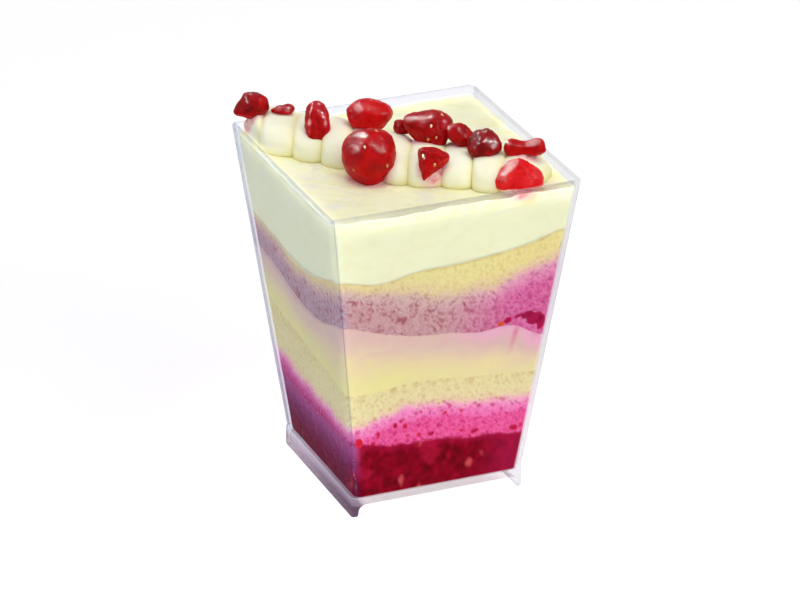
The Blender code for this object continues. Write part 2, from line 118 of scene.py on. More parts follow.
# flat cuts across the pieces: direction (right, away, up) and distance from the
# centre as a share of the radius
FRUIT_CUTS = {
    "fruit_01": ((-0.6, -0.6, 0.5, 0.72), (0.5, -0.8, 0.2, 0.74), (0.7, 0.3, 0.7, 0.80), (0.1, -0.4, -0.9, 0.74)),
    "fruit_02": ((-0.3, -0.5, 0.8, 0.60), (0.7, -0.6, 0.2, 0.72)),
    "fruit_03": ((0.1, -1.0, 0.1, 0.84), (-0.8, -0.3, 0.5, 0.80), (0.7, 0.1, 0.7, 0.82), (0.2, 0.9, 0.3, 0.7)),
    "fruit_04": ((0.2, -0.6, 0.8, 0.84), (-0.7, -0.7, 0.2, 0.82), (0.75, -0.5, -0.3, 0.84), (0.2, 0.9, 0.3, 0.7)),
    "fruit_05": ((0.62, -0.55, 0.56, 0.80), (-0.62, -0.5, 0.60, 0.82), (0.60, -0.55, -0.60, 0.78),
                 (-0.66, -0.45, -0.60, 0.78), (0.95, -0.3, 0.0, 0.88), (0.2, 0.9, 0.4, 0.8)),
    "fruit_06": ((-0.55, -0.35, 0.76, 0.80), (0.97, -0.2, 0.1, 0.84), (0.25, -0.9, 0.35, 0.80),
                 (-0.5, -0.7, -0.5, 0.84), (0.3, -0.5, -0.8, 0.82), (0.1, 0.9, 0.4, 0.7)),
    "fruit_07": ((-0.7, -0.5, 0.5, 0.65), (0.5, -0.6, 0.6, 0.70), (-0.3, -0.6, -0.7, 0.68)),
    "fruit_08": ((0.1, -0.6, 0.8, 0.68), (0.7, -0.6, -0.3, 0.74), (-0.5, 0.7, 0.5, 0.7)),
    "fruit_09": ((-0.8, -0.4, 0.4, 0.74), (0.6, -0.7, 0.4, 0.74), (0.1, -0.6, 0.8, 0.80), (0.0, 0.9, 0.4, 0.7)),
    "fruit_10": ((-0.15, -0.25, 0.96, 0.50), (0.80, -0.35, -0.50, 0.40), (-0.90, -0.30, -0.25, 0.66),
                 (0.0, -1.0, 0.1, 0.62)),
    "fruit_11": ((0.1, -0.5, 0.85, 0.66), (-0.2, -0.95, -0.2, 0.72), (0.3, 0.9, 0.3, 0.7)),
    "fruit_12": ((-0.66, -0.30, 0.68, 0.62), (0.70, -0.25, 0.66, 0.66), (0.05, -0.98, 0.20, 0.66),
                 (0.0, -0.2, -1.0, 0.62), (0.2, 0.9, 0.4, 0.7)),
}

REACH = 0.30          # how far the food reaches into the wall, mm
FOOD_R = 1.75         # corner radius of the food, a little fuller than the cup's
CLEAR = -0.10         # the same on the +X wall, where the food has come away from it


# ----------------------------------------------------------------- smooth noise
def _hash(i, j, k, seed):
    h = (i.astype(np.int64) * 374761393 + j.astype(np.int64) * 668265263
         + k.astype(np.int64) * 2147483647 + seed * 974634777) & 0xFFFFFFFF
    h = (h ^ (h >> 13)) * 1274126177 & 0xFFFFFFFF
    h = (h ^ (h >> 16)) * 2246822519 & 0xFFFFFFFF
    return ((h ^ (h >> 15)) & 0xFFFFFF).astype(float) / 0xFFFFFF


def vnoise(p, scale, seed=0):
    """Smooth value noise from -1 to 1. p is (..., 3) in mm, scale in mm."""
    q = np.asarray(p, float) / scale
    b = np.floor(q)
    f = q - b
    f = f * f * f * (f * (f * 6 - 15) + 10)
    i, j, k = (b[..., n].astype(np.int64) for n in range(3))
    out = 0.0
    for dx in (0, 1):
        wx = f[..., 0] if dx else 1 - f[..., 0]
        for dy in (0, 1):
            wy = f[..., 1] if dy else 1 - f[..., 1]
            for dz in (0, 1):
                wz = f[..., 2] if dz else 1 - f[..., 2]
                out = out + wx * wy * wz * _hash(i + dx, j + dy, k + dz, seed)
    return out * 2 - 1


def fbm(p, scale, octaves=3, seed=0, gain=0.5):
    out, amp, total = 0.0, 1.0, 0.0
    for o in range(octaves):
        out = out + amp * vnoise(p, scale / 2 ** o, seed + 17 * o)
        total += amp
        amp *= gain
    return out / total


def worley(p, scale, seed=0):
    """Distance to the nearest scattered point, in cells, and that point's own number."""
    q = np.asarray(p, float) / scale
    b = np.floor(q).astype(np.int64)
    best = np.full(q.shape[:-1], 9.0)
    tag = np.zeros(q.shape[:-1])
    for dx in (-1, 0, 1):
        for dy in (-1, 0, 1):
            for dz in (-1, 0, 1):
                i, j, k = b[..., 0] + dx, b[..., 1] + dy, b[..., 2] + dz
                c = np.stack([i + _hash(i, j, k, seed), j + _hash(i, j, k, seed + 1),
                              k + _hash(i, j, k, seed + 2)], -1)
                d = np.sqrt(((q - c) ** 2).sum(-1))
                near = d < best
                best = np.where(near, d, best)
                tag = np.where(near, _hash(i, j, k, seed + 3), tag)
    return best, tag


def smooth(x, a, b):
    t = np.clip((x - a) / (b - a), 0, 1)
    return t * t * (3 - 2 * t)


# --------------------------------------------------------------- shape functions
def outer_half(z):
    return FLOOR_HALF + (RIM_HALF - FLOOR_HALF) * (z - FLOOR_Z) / (RIM_Z - FLOOR_Z)


def wall_half(z):
    return outer_half(z) - WALL


def curve(values, u):
    """Smooth curve through evenly spaced values, u from -1 to 1 (arrays)."""
    v = np.asarray(values, float)
    n = len(v) - 1
    p = np.clip((np.asarray(u, float) + 1) * 0.5 * n, 0, n - 1e-9)
    i = p.astype(int)
    f = p - i
    a, b, c, d = v[np.maximum(i - 1, 0)], v[i], v[i + 1], v[np.minimum(i + 2, n)]
    return b + 0.5 * f * (c - a + f * (2 * a - 5 * b + 4 * c - d
                                       + f * (3 * (b - c) + d - a)))


def interface_z(name, u, v):
    spec = INTERFACES[name]
    corner = spec["front"][0]
    fr = curve(spec["front"], u) - corner
    le = curve(spec["left"], v) - corner
    mean = sum(spec["front"]) / len(spec["front"]) - corner
    calm_f = FAR_SIDE_CALM * (v + 1) * 0.5
    calm_l = FAR_SIDE_CALM * (u + 1) * 0.5
    return corner + fr * (1 - calm_f) + mean * calm_f * 0.5 + le * (1 - calm_l)


WOBBLE = {  # slow and fine unevenness of each interface, mm
    "compote_top": (0.55, 0.38), "lower_sponge_top": (0.20, 0.22),
    "custard_top": (0.25, 0.22), "upper_sponge_top": (0.15, 0.10),
}


def uneven(name, u, v):
    p = np.stack([u * 30, v * 30, np.full_like(u, 7.0 * len(name))], -1)
    slow, fine = WOBBLE[name]
    return interface_z(name, u, v) + slow * fbm(p, 4.5, 2, 3) + fine * fbm(p, 0.9, 2, 5)


def cream_z(x, y):
    half = wall_half(CREAM_EDGE_Z) - GAP
    r = np.maximum(np.abs(x), np.abs(y)) / half
    edge = np.minimum(r, 1.0) ** 3
    marks = (np.sin(0.16 * x + 0.11 * y + 0.6) + np.sin(0.21 * y - 0.07 * x)) * 0.5
    return CREAM_EDGE_Z - CREAM_DISH * (1 - edge) + CREAM_SWIRL * marks * (1 - edge)


def cream_top(x, y):
    """The cream with its fine spatula marks and the thin smear up the walls."""
    p = np.stack([x, y, np.zeros_like(x)], -1)
    # strokes run roughly along the rope
    a = math.radians(-38)
    q = np.stack([(x * math.cos(a) + y * math.sin(a)) * 0.22,
                  -x * math.sin(a) + y * math.cos(a), np.full_like(x, 3.0)], -1)
    z = cream_z(x, y) + 0.30 * fbm(q, 2.6, 3, 21) + 0.05 * fbm(p, 1.1, 2, 22)
    wall = wall_half(CREAM_EDGE_Z) + REACH
    d = np.minimum(wall - np.abs(x), wall - np.abs(y))
    climb = 0.55 + 0.55 * fbm(p, 7.0, 2, 23)
    climb = climb + 1.0 * np.exp(-((x - 17.5) / 4.0) ** 2) * (y < -20)
    return z + np.clip(climb, 0.05, 1.2) * np.exp(-np.maximum(d - 0.2, 0) / 0.75)


def ts_to_xy(t, s):
    return (t - s) / ROOT2, (-t - s) / ROOT2


# ------------------------------------------------------------------ mesh helpers
def make_object(name, verts, faces, mat=None, smooth_shade=True):
    """verts in mm."""
    mesh = bpy.data.meshes.new(name)
    mesh.from_pydata((np.asarray(verts) * MM).tolist(), [], faces)
    mesh.update()
    bm = bmesh.new()
    bm.from_mesh(mesh)
    bmesh.ops.recalc_face_normals(bm, faces=bm.faces[:])
    bm.to_mesh(mesh)
    bm.free()
    if smooth_shade:
        mesh.shade_smooth()
    ob = bpy.data.objects.new(name, mesh)
    bpy.context.scene.collection.objects.link(ob)
    if mat:
        mesh.materials.append(mat)
    return ob


def attribute(ob, name, values):
    at = ob.data.attributes.new(name, "FLOAT", "POINT")
    at.data.foreach_set("value", np.asarray(values, np.float32).ravel())


def node_piece(ob, *nodes, slot):
    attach(ob, "root")
    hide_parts(*nodes)


def loft(loops, close=True):
    """Quads between successive closed loops of the same length."""
    n = len(loops[0])
    faces = []
    pairs = list(zip(loops, loops[1:] + loops[:1])) if close else list(zip(loops, loops[1:]))
    for a, b in pairs:
        for i in range(n):
            j = (i + 1) % n
            faces.append((a[i], a[j], b[j], b[i]))
    return faces


# --------------------------------------------------------------------- materials
class Nodes:
    """Short names for the few node kinds that the materials use."""

    def __init__(self, name):
        self.mat = bpy.data.materials.new(name)
        self.mat.use_nodes = True
        self.t = self.mat.node_tree
        self.bsdf = self.t.nodes["Principled BSDF"]
        self.out = self.t.nodes["Material Output"]
        self.coord = self.t.nodes.new("ShaderNodeTexCoord").outputs["Object"]
        self.mm = self.vec("SCALE", self.coord, scale=1000.0)

    def link(self, value, socket):
        if isinstance(value, (int, float)):
            socket.default_value = value
        elif isinstance(value, tuple):
            socket.default_value = value if len(value) == 4 or len(socket.default_value) == 3 else (*value, 1.0)
        else:
            self.t.links.new(value, socket)

    def vec(self, op, a, b=None, scale=None):
        n = self.t.nodes.new("ShaderNodeVectorMath")
        n.operation = op
        self.link(a, n.inputs[0])
        if b is not None:
            self.link(b, n.inputs[1])
        if scale is not None:
            self.link(scale, n.inputs["Scale"])
        return n.outputs["Vector"]

    def math(self, op, a, b=0.0, clamp=False):
        n = self.t.nodes.new("ShaderNodeMath")
        n.operation = op
        n.use_clamp = clamp
        self.link(a, n.inputs[0])
        self.link(b, n.inputs[1])
        return n.outputs[0]

    def stretch(self, sx, sy, sz, vec=None):
        n = self.t.nodes.new("ShaderNodeMapping")
        n.inputs["Scale"].default_value = (sx, sy, sz)
        self.link(vec or self.mm, n.inputs["Vector"])
        return n.outputs[0]

    def noise(self, size, detail=3.0, rough=0.5, distort=0.0, vec=None, colour=False):
        n = self.t.nodes.new("ShaderNodeTexNoise")
        n.inputs["Scale"].default_value = 1.0 / size
        n.inputs["Detail"].default_value = detail
        n.inputs["Roughness"].default_value = rough
        n.inputs["Distortion"].default_value = distort
        self.link(vec or self.mm, n.inputs["Vector"])
        return n.outputs["Color" if colour else "Fac"]

    def cells(self, size, feature="F1", random=1.0, vec=None, smooth_by=None, out="Distance"):
        n = self.t.nodes.new("ShaderNodeTexVoronoi")
        n.feature = feature
        n.inputs["Scale"].default_value = 1.0 / size
        n.inputs["Randomness"].default_value = random
        self.link(vec or self.mm, n.inputs["Vector"])
        return n.outputs[out]

    def span(self, value, a, b, c=0.0, d=1.0, kind="SMOOTHSTEP"):
        n = self.t.nodes.new("ShaderNodeMapRange")
        n.interpolation_type = kind
        n.clamp = True
        self.link(value, n.inputs[0])
        for i, x in enumerate((a, b, c, d)):
            self.link(x, n.inputs[1 + i])
        return n.outputs[0]

    def ramp(self, fac, stops):
        n = self.t.nodes.new("ShaderNodeValToRGB")
        cr = n.color_ramp
        while len(cr.elements) > 1:
            cr.elements.remove(cr.elements[-1])
        cr.elements[0].position = stops[0][0]
        cr.elements[0].color = (*stops[0][1], 1)
        for pos, col in stops[1:]:
            e = cr.elements.new(pos)
            e.color = (*col, 1)
        self.link(fac, n.inputs[0])
        return n.outputs[0]

    def mix(self, fac, a, b, kind="MIX"):
        n = self.t.nodes.new("ShaderNodeMix")
        n.data_type = "RGBA"
        n.blend_type = kind
        self.link(fac, n.inputs[0])
        self.link(a, n.inputs[6])
        self.link(b, n.inputs[7])
        return n.outputs[2]

    def attr(self, name):
        n = self.t.nodes.new("ShaderNodeAttribute")
        n.attribute_name = name
        return n.outputs["Fac"]

    def xyz(self):
        n = self.t.nodes.new("ShaderNodeSeparateXYZ")
        self.link(self.mm, n.inputs[0])
        return n.outputs

    def bump(self, height, strength, distance_mm, normal=None):
        n = self.t.nodes.new("ShaderNodeBump")
        n.inputs["Strength"].default_value = strength
        n.inputs["Distance"].default_value = distance_mm * MM
        self.link(height, n.inputs["Height"])
        if normal is not None:
            self.link(normal, n.inputs["Normal"])
        return n.outputs[0]

    def set(self, **values):
        for key, value in values.items():
            self.link(value, self.bsdf.inputs[key.replace("_", " ")])


def srgb(r, g, b):
    def lin(c):
        c /= 255.0
        return c / 12.92 if c <= 0.04045 else ((c + 0.055) / 1.055) ** 2.4
    return (lin(r), lin(g), lin(b))


def soft(m, weight, scale_mm, radius=(1.0, 0.6, 0.35)):
    m.bsdf.inputs["Subsurface Weight"].default_value = weight
    m.bsdf.inputs["Subsurface Scale"].default_value = scale_mm * MM
    m.bsdf.inputs["Subsurface Radius"].default_value = radius


def cream_material(name, piped):
    m = Nodes(name)
    base = m.ramp(m.noise(9.0, 4, 0.55), [(0.30, srgb(241, 242, 198) if not piped else srgb(252, 251, 214)), (0.70, srgb(246, 247, 206) if not piped else srgb(254, 253, 222))])
    if not piped:
        turned = m.t.nodes.new("ShaderNodeMapping")
        turned.inputs["Rotation"].default_value = (0, 0, math.radians(38))
        m.link(m.mm, turned.inputs["Vector"])
        streak = m.noise(2.4, 5, 0.62, 0.4, vec=m.stretch(0.22, 1.0, 0.9, vec=turned.outputs[0]))
        open_top = m.span(m.xyz()[2], 79.5, 81.5, 0.80, 1.0)
        base = m.mix(m.math("MULTIPLY", m.span(streak, 0.44, 0.70, 0.0, 0.60), open_top), base, srgb(234, 231, 174))
        base = m.mix(m.math("MULTIPLY", m.span(streak, 0.30, 0.44, 0.5, 0.0), open_top), base, srgb(250, 248, 226))
        # the sides below the open top are painted darker and greyer: painted shade
        base = m.mix(m.span(open_top, 0.80, 1.0, 0.50, 0.0), base, srgb(230, 232, 196))
        # paler, greyer wipes where the cream was spread against the wall
        wipe = m.noise(3.0, 5, 0.65, 0.6, vec=m.stretch(0.30, 0.30, 1.5))
        band = m.span(m.xyz()[2], 76.5, 81.0)
        base = m.mix(m.math("MULTIPLY", m.span(wipe, 0.50, 0.66), m.math("MULTIPLY", band, 0.50)), base, srgb(226, 226, 216))
    else:
        fine = m.noise(1.6, 4, 0.6)
        base = m.mix(m.span(fine, 0.5, 0.75, 0.0, 0.25), base, srgb(252, 248, 222))
    # olive-yellow painted shade in the rope's grooves, along its foot and on the flat cream next to it
    painted_crease_shade = m.attr("painted_crease_shade")
    base = m.mix(m.math("MULTIPLY", painted_crease_shade, 0.85), base, srgb(232, 222, 138))
    stain = m.attr("stain")
    stain = m.math("ADD", stain, m.math("MULTIPLY", m.math("SUBTRACT", m.noise(1.3, 4, 0.65), 0.5), m.span(stain, 0.02, 0.5, 0.0, 0.8)))
    base = m.mix(m.span(stain, 0.05, 0.55, 0.0, 0.55), base, srgb(246, 190, 200))
    base = m.mix(m.span(stain, 0.55, 1.0, 0.0, 0.80), base, srgb(222, 70, 100))
    h = m.math("ADD", m.math("MULTIPLY", m.noise(0.35, 3, 0.6), 0.35), m.noise(1.3, 3, 0.5))
    m.set(Base_Color=base, Roughness=m.span(m.noise(2.0, 2), 0.3, 0.7, 0.52 if piped else 0.34, 0.68 if piped else 0.52),
          Normal=m.bump(h, 0.35 if piped else 0.14, 0.10))
    m.bsdf.inputs["Specular IOR Level"].default_value = 0.05 if piped else 0.12
    soft(m, 0.55, 1.6, (1.0, 0.85, 0.5))
    return m.mat


def sponge_material(name, upper):
    m = Nodes(name)
    soak = m.attr("soak")
    warp = m.vec("ADD", m.mm, m.vec("SCALE", m.vec("SUBTRACT", m.noise(1.0, 2, colour=True), (0.5, 0.5, 0.5)), scale=1.1))
    grain = m.math("SUBTRACT", m.noise(1.2, 5, 0.65), 0.5)
    blotch = m.math("SUBTRACT", m.noise(4.5, 4, 0.6), 0.5)
    s = m.math("ADD", soak, m.math("ADD", m.math("MULTIPLY", grain, 0.45), m.math("MULTIPLY", blotch, 0.45)))
    side = m.span(m.attr("side"), 0.42, 0.86)
    if upper:
        left = m.ramp(s, [(0.05, srgb(228, 216, 144)), (0.32, srgb(222, 202, 150)),
                          (0.52, srgb(212, 182, 166)), (0.75, srgb(202, 164, 164)),
                          (1.0, srgb(196, 150, 152))])
        right = m.ramp(s, [(0.05, srgb(230, 216, 138)), (0.36, srgb(226, 194, 158)),
                           (0.55, srgb(226, 162, 182)), (0.78, srgb(220, 124, 170)),
                           (1.0, srgb(208, 88, 146))])
        col = m.mix(side, left, right)
        web_pale = m.mix(side, srgb(226, 204, 196), srgb(240, 184, 206))
        pore_shade_and_juice = m.mix(side, srgb(158, 72, 86), srgb(168, 44, 104))
    else:
        col = m.ramp(s, [(0.10, srgb(229, 217, 160)), (0.32, srgb(231, 206, 164)),
                         (0.46, srgb(240, 180, 196)), (0.64, srgb(240, 138, 192)),
                         (0.88, srgb(238, 112, 178)), (1.0, srgb(230, 78, 144))])
        web_pale, pore_shade_and_juice = srgb(242, 148, 196), srgb(196, 14, 88)
    # the -X face, where soaked, is painted darker and greyer: painted shade and painted reflection of the plastic wall
    painted_left_shade_and_reflection = m.math("MULTIPLY", m.attr("face"), m.span(soak, 0.45, 1.0))
    col = m.mix(m.math("MULTIPLY", painted_left_shade_and_reflection, 0.75), col, srgb(150, 52, 108) if not upper else srgb(174, 154, 162))
    # crumb: openings of several sizes between paler walls, the openings painted darker as painted shade in the holes,
    # juice-red where soaked
    keep = m.noise(2.4, 2, 0.5)
    pore_b = m.math("MULTIPLY", m.span(m.cells(2.0, vec=warp), 0.24, 0.36, 1.0, 0.0), m.span(keep, 0.47, 0.53))
    pore_m = m.math("MULTIPLY", m.span(m.cells(1.15, vec=warp), 0.26, 0.40, 1.0, 0.0), m.span(keep, 0.36, 0.62, 0.95, 0.15))
    pore_f = m.math("MULTIPLY", m.span(m.cells(0.62, vec=warp), 0.22, 0.44, 0.8, 0.0), m.span(m.noise(1.6, 2), 0.40, 0.58))
    pores = m.math("MAXIMUM", pore_b, m.math("MAXIMUM", pore_m, pore_f))
    soaked = m.span(soak, 0.22, 0.58)
    web = m.cells(1.3, "DISTANCE_TO_EDGE", vec=warp)
    col = m.mix(m.span(web, 0.0, 0.20, 0.26, 0.0), col, m.mix(soaked, srgb(243, 233, 188), web_pale))
    dark = m.mix(soaked, srgb(190, 150, 84), pore_shade_and_juice)
    col = m.mix(m.math("MULTIPLY", pores, m.span(soak, 0.10, 0.60, 0.24 if upper else 0.36, 0.54 if upper else 0.68)), col, dark)
    if upper:
        patch = m.math("MULTIPLY", m.span(m.noise(2.2, 4, 0.62, 0.8), 0.54, 0.66), m.span(soak, 0.35, 0.7))
        col = m.mix(m.math("MULTIPLY", patch, m.span(side, 0.0, 1.0, 0.82, 0.36)), col, m.mix(side, srgb(156, 70, 84), srgb(188, 66, 126)))
    else:
        fleck = m.math("MULTIPLY", m.span(m.cells(3.4, vec=warp), 0.16, 0.24, 1.0, 0.0), m.span(soak, 0.45, 0.8))
        col = m.mix(m.math("MULTIPLY", fleck, 0.85), col, srgb(206, 12, 40))
    # juice has taken the lowest crumbs
    low = m.math("ADD", m.attr("low"), m.math("MULTIPLY", m.math("SUBTRACT", m.noise(1.5, 4, 0.65, 0.5), 0.5), 1.5))
    col = m.mix(m.math("MULTIPLY", m.span(low, 0.92 if upper else 0.66, 1.14 if upper else 0.96), 0.62 if upper else 0.78), col,
                m.mix(side, srgb(156, 70, 78), srgb(182, 56, 116)) if upper else srgb(168, 6, 52))
    # browned skin along the top
    line = m.attr("crust")
    skin = m.math("MULTIPLY", line, m.span(m.noise(2.6, 3, 0.6), 0.35, 0.6, 0.25, 0.9))
    col = m.mix(skin, col, srgb(204, 172, 98))
    h = m.math("SUBTRACT", m.math("MULTIPLY", m.noise(0.8, 4, 0.6), 0.5), pores)
    m.set(Base_Color=col, Roughness=m.span(pores, 0.0, 1.0, 0.62, 0.85), Normal=m.bump(h, 0.35, 0.2))
    m.bsdf.inputs["Specular IOR Level"].default_value = 0.06
    return m.mat


def custard_material():
    m = Nodes("custard")
    blush = m.attr("blush")
    s = m.math("ADD", blush, m.math("MULTIPLY", m.math("SUBTRACT", m.noise(7.0, 4, 0.55, 0.6, vec=m.stretch(0.8, 0.8, 1.3)), 0.5), 0.55))
    col = m.ramp(s, [(0.0, srgb(233, 223, 152)), (0.30, srgb(230, 213, 163)), (0.55, srgb(225, 199, 174)),
                     (0.80, srgb(220, 184, 174)), (1.0, srgb(232, 174, 196))])
    specks = m.cells(1.9)
    col = m.mix(m.math("MULTIPLY", m.span(specks, 0.05, 0.11, 1.0, 0.0), m.span(m.noise(3.0, 2), 0.56, 0.64)), col, srgb(200, 160, 110))
    streak = m.attr("streak")
    col = m.mix(m.math("MULTIPLY", streak, 0.7), col, srgb(214, 90, 120))
    h = m.math("ADD", m.noise(2.4, 4, 0.5), m.math("MULTIPLY", m.noise(0.5, 3), 0.3))
    m.set(Base_Color=col, Roughness=m.span(m.noise(3.0), 0.3, 0.7, 0.35, 0.5), Normal=m.bump(h, 0.25, 0.12))
    m.bsdf.inputs["Specular IOR Level"].default_value = 0.3
    soft(m, 0.35, 1.5, (1.0, 0.7, 0.35))
    return m.mat


def compote_material():
    m = Nodes("compote")
    warp = m.vec("ADD", m.mm, m.vec("SCALE", m.vec("SUBTRACT", m.noise(3.5, 3, colour=True), (0.5, 0.5, 0.5)), scale=3.6))
    chunk = m.cells(6.4, vec=warp, out="Color")
    tone = m.t.nodes.new("ShaderNodeSeparateColor")
    m.link(chunk, tone.inputs[0])
    edge = m.cells(6.4, "DISTANCE_TO_EDGE", vec=warp)
    base = m.ramp(m.noise(2.8, 5, 0.6, 0.5), [(0.32, srgb(92, 0, 12)), (0.50, srgb(130, 0, 24)), (0.68, srgb(158, 4, 42))])
    flesh = m.ramp(m.noise(1.5, 5, 0.65), [(0.3, srgb(158, 4, 38)), (0.7, srgb(186, 24, 64))])
    col = m.mix(m.math("MULTIPLY", m.span(tone.outputs[0], 0.50, 0.66), m.span(edge, 0.02, 0.30, 0.0, 0.62)), base, flesh)
    col = m.mix(m.span(edge, 0.0, 0.14, 0.30, 0.0), col, srgb(92, 0, 12))
    col = m.mix(m.span(m.attr("up"), 0.80, 1.04, 0.0, 0.5), col, srgb(186, 18, 70))
    col = m.mix(m.span(m.attr("right"), 0.35, 1.0, 0.0, 0.5), col, srgb(176, 24, 76))
    # the -X face is painted darker low down and greyer, paler higher up: painted shade and painted reflection of the
    # plastic wall
    painted_left_shade_and_reflection = m.ramp(m.attr("up"), [(0.25, srgb(98, 8, 54)), (0.60, srgb(128, 48, 100)), (0.90, srgb(164, 84, 138))])
    col = m.mix(m.math("MULTIPLY", m.attr("face"), m.span(m.attr("up"), 0.2, 0.95, 0.55, 0.85)), col, painted_left_shade_and_reflection)
    fibre = m.noise(1.4, 5, 0.7, vec=m.stretch(2.4, 2.4, 0.7))
    col = m.mix(m.math("MULTIPLY", m.span(fibre, 0.62, 0.82, 0.0, 0.5), m.span(m.attr("face"), 0.0, 1.0, 1.0, 0.3)), col, srgb(214, 62, 84))
    pale = m.cells(9.0, vec=m.stretch(1.5, 1.5, 0.75, vec=warp))
    col = m.mix(m.span(pale, 0.06, 0.20, 0.55, 0.0), col, srgb(222, 92, 92))
    seeds = m.cells(3.1, vec=m.stretch(1.0, 1.0, 0.62))
    pip = m.math("MULTIPLY", m.span(seeds, 0.09, 0.14, 1.0, 0.0), m.span(m.noise(5.0, 1), 0.55, 0.60))
    col = m.mix(m.math("MULTIPLY", pip, 0.6), col, srgb(222, 110, 84))
    h = m.math("ADD", m.noise(1.8, 5, 0.6), m.math("MULTIPLY", m.span(edge, 0.0, 0.25), 0.8))
    m.set(Base_Color=col, Roughness=m.span(m.noise(1.2, 3), 0.3, 0.7, 0.25, 0.45), Normal=m.bump(h, 0.4, 0.30))
    m.bsdf.inputs["Specular IOR Level"].default_value = 0.03
    return m.mat


def fruit_material():
    m = Nodes("fruit")
    bright = m.attr("bright")
    n1 = m.noise(2.4, 4, 0.6, 0.3)
    tone = m.math("ADD", m.math("MULTIPLY", bright, 0.80), m.math("MULTIPLY", m.math("SUBTRACT", n1, 0.49), 0.95))
    # darker in the seed hollows: painted shade
    tone = m.math("ADD", tone, m.math("MULTIPLY", m.attr("hollow"), -0.25))
    col = m.ramp(tone, [(0.0, srgb(112, 0, 2)), (0.25, srgb(168, 0, 2)), (0.50, srgb(198, 0, 4)),
                        (0.75, srgb(216, 8, 14)), (1.0, srgb(232, 26, 32))])
    flesh = m.noise(0.8, 5, 0.7)
    col = m.mix(m.math("MULTIPLY", m.span(flesh, 0.60, 0.78, 0.0, 0.40), m.span(bright, 0.45, 0.95, 0.0, 0.8)), col, srgb(244, 100, 112))
    h = m.math("ADD", m.math("MULTIPLY", m.noise(0.40, 3, 0.6), 0.45), m.noise(1.2, 4, 0.6))
    m.set(Base_Color=col, Roughness=m.span(m.noise(0.9, 3), 0.3, 0.7, 0.22, 0.42), Normal=m.bump(h, 0.6, 0.30))
    m.bsdf.inputs["Specular IOR Level"].default_value = 0.03
    m.bsdf.inputs["Coat Weight"].default_value = 0.22
    m.bsdf.inputs["Coat Roughness"].default_value = 0.07
    m.t.links.new(m.bump(m.math("ADD", m.noise(0.95, 2, 0.5), m.math("MULTIPLY", m.noise(0.42, 2, 0.5), m.span(bright, 0.4, 0.95, 0.70, 1.10))), 1.0, 0.16), m.bsdf.inputs["Coat Normal"])
    soft(m, 0.20, 1.0, (1.0, 0.05, 0.05))
    return m.mat


def seed_material():
    m = Nodes("seed")
    col = m.ramp(m.noise(0.5, 3), [(0.3, srgb(196, 120, 44)), (0.7, srgb(232, 172, 84))])
    m.set(Base_Color=col, Roughness=m.span(m.noise(0.3), 0.3, 0.7, 0.25, 0.4), Normal=m.bump(m.noise(0.25, 3), 0.4, 0.05))
    m.bsdf.inputs["Coat Weight"].default_value = 0.6
    return m.mat


def cup_material():
    """Clear moulded plastic. Lamps' light passes it, so the food behind it is lit."""
    m = Nodes("clear_plastic")
    m.bsdf.inputs["Transmission Weight"].default_value = 1.0
    m.bsdf.inputs["IOR"].default_value = 1.50
    m.bsdf.inputs["Specular Tint"].default_value = (0.15, 0.15, 0.16, 1)
    x, _, z = m.xyz()
    # the wall on the -X side is tinted greyer than the others: painted shade for the side away from the key lamp
    slope = (wall_half(80.0) - wall_half(20.0)) / 60.0
    inner = m.math("ADD", m.math("MULTIPLY", z, slope), wall_half(20.0) - 20.0 * slope)
    painted_shade_wall = m.span(m.math("SUBTRACT", m.math("MULTIPLY", x, -1.0), inner), -0.10, 0.02)
    tint_and_painted_shade = m.mix(painted_shade_wall, (0.96, 0.965, 0.98, 1), (0.785, 0.815, 0.895, 1))
    tint_and_painted_shade = m.mix(m.span(z, 84.15, 84.5), tint_and_painted_shade, (0.76, 0.735, 0.83, 1))
    # its rail is painted mauve-grey, darker towards the front: painted reflection of the compote and painted shade
    rail_painted_reflection_and_shade = m.mix(m.span(m.xyz()[1], -22.0, 22.0), (0.34, 0.26, 0.33, 1), (0.62, 0.56, 0.62, 1))
    rail = m.math("MULTIPLY", m.span(z, 3.0, 3.7, 1.0, 0.0), m.span(x, -20.0, -18.0, 1.0, 0.0))
    tint_and_painted_shade = m.mix(rail, tint_and_painted_shade, rail_painted_reflection_and_shade)
    m.set(Base_Color=tint_and_painted_shade, Roughness=m.span(m.noise(14.0, 3, 0.6), 0.35, 0.75, 0.010, 0.035),
          Normal=m.bump(m.noise(11.0, 2, 0.5), 0.25, 0.10))
    # shadow rays through the -X wall and rail carry the same painted shade
    clear = m.t.nodes.new("ShaderNodeBsdfTransparent")
    m.link(m.mix(rail, m.mix(painted_shade_wall, (0.95, 0.955, 0.97, 1), (0.785, 0.815, 0.895, 1)), rail_painted_reflection_and_shade), clear.inputs[0])
    path = m.t.nodes.new("ShaderNodeLightPath")
    both = m.t.nodes.new("ShaderNodeMixShader")
    m.link(m.math("MAXIMUM", path.outputs["Is Shadow Ray"], 0.68), both.inputs[0])
    m.t.links.new(m.bsdf.outputs[0], both.inputs[1])
    m.t.links.new(clear.outputs[0], both.inputs[2])
    m.t.links.new(both.outputs[0], m.out.inputs["Surface"])
    return m.mat


MAT = {
    "cream": cream_material("cream", False),
    "piping": cream_material("piped_cream", True),
    "sponge_lower": sponge_material("sponge_lower", False),
    "sponge_upper": sponge_material("sponge_upper", True),
    "custard": custard_material(),
    "compote": compote_material(),
    "fruit": fruit_material(),
    "seed": seed_material(),
    "cup": cup_material(),
}


# --------------------------------------------------------------------------- cup
def rounded_square(half, radius, z, steps):
    pts = []
    c = half - radius
    for k in range(4):
        cx = c * (1 if k in (0, 3) else -1)
        cy = c * (1 if k in (0, 1) else -1)
        for i in range(steps + 1):
            a = (k + i / steps) * math.pi / 2
            pts.append((cx + radius * math.cos(a), cy + radius * math.sin(a), z))
    return pts


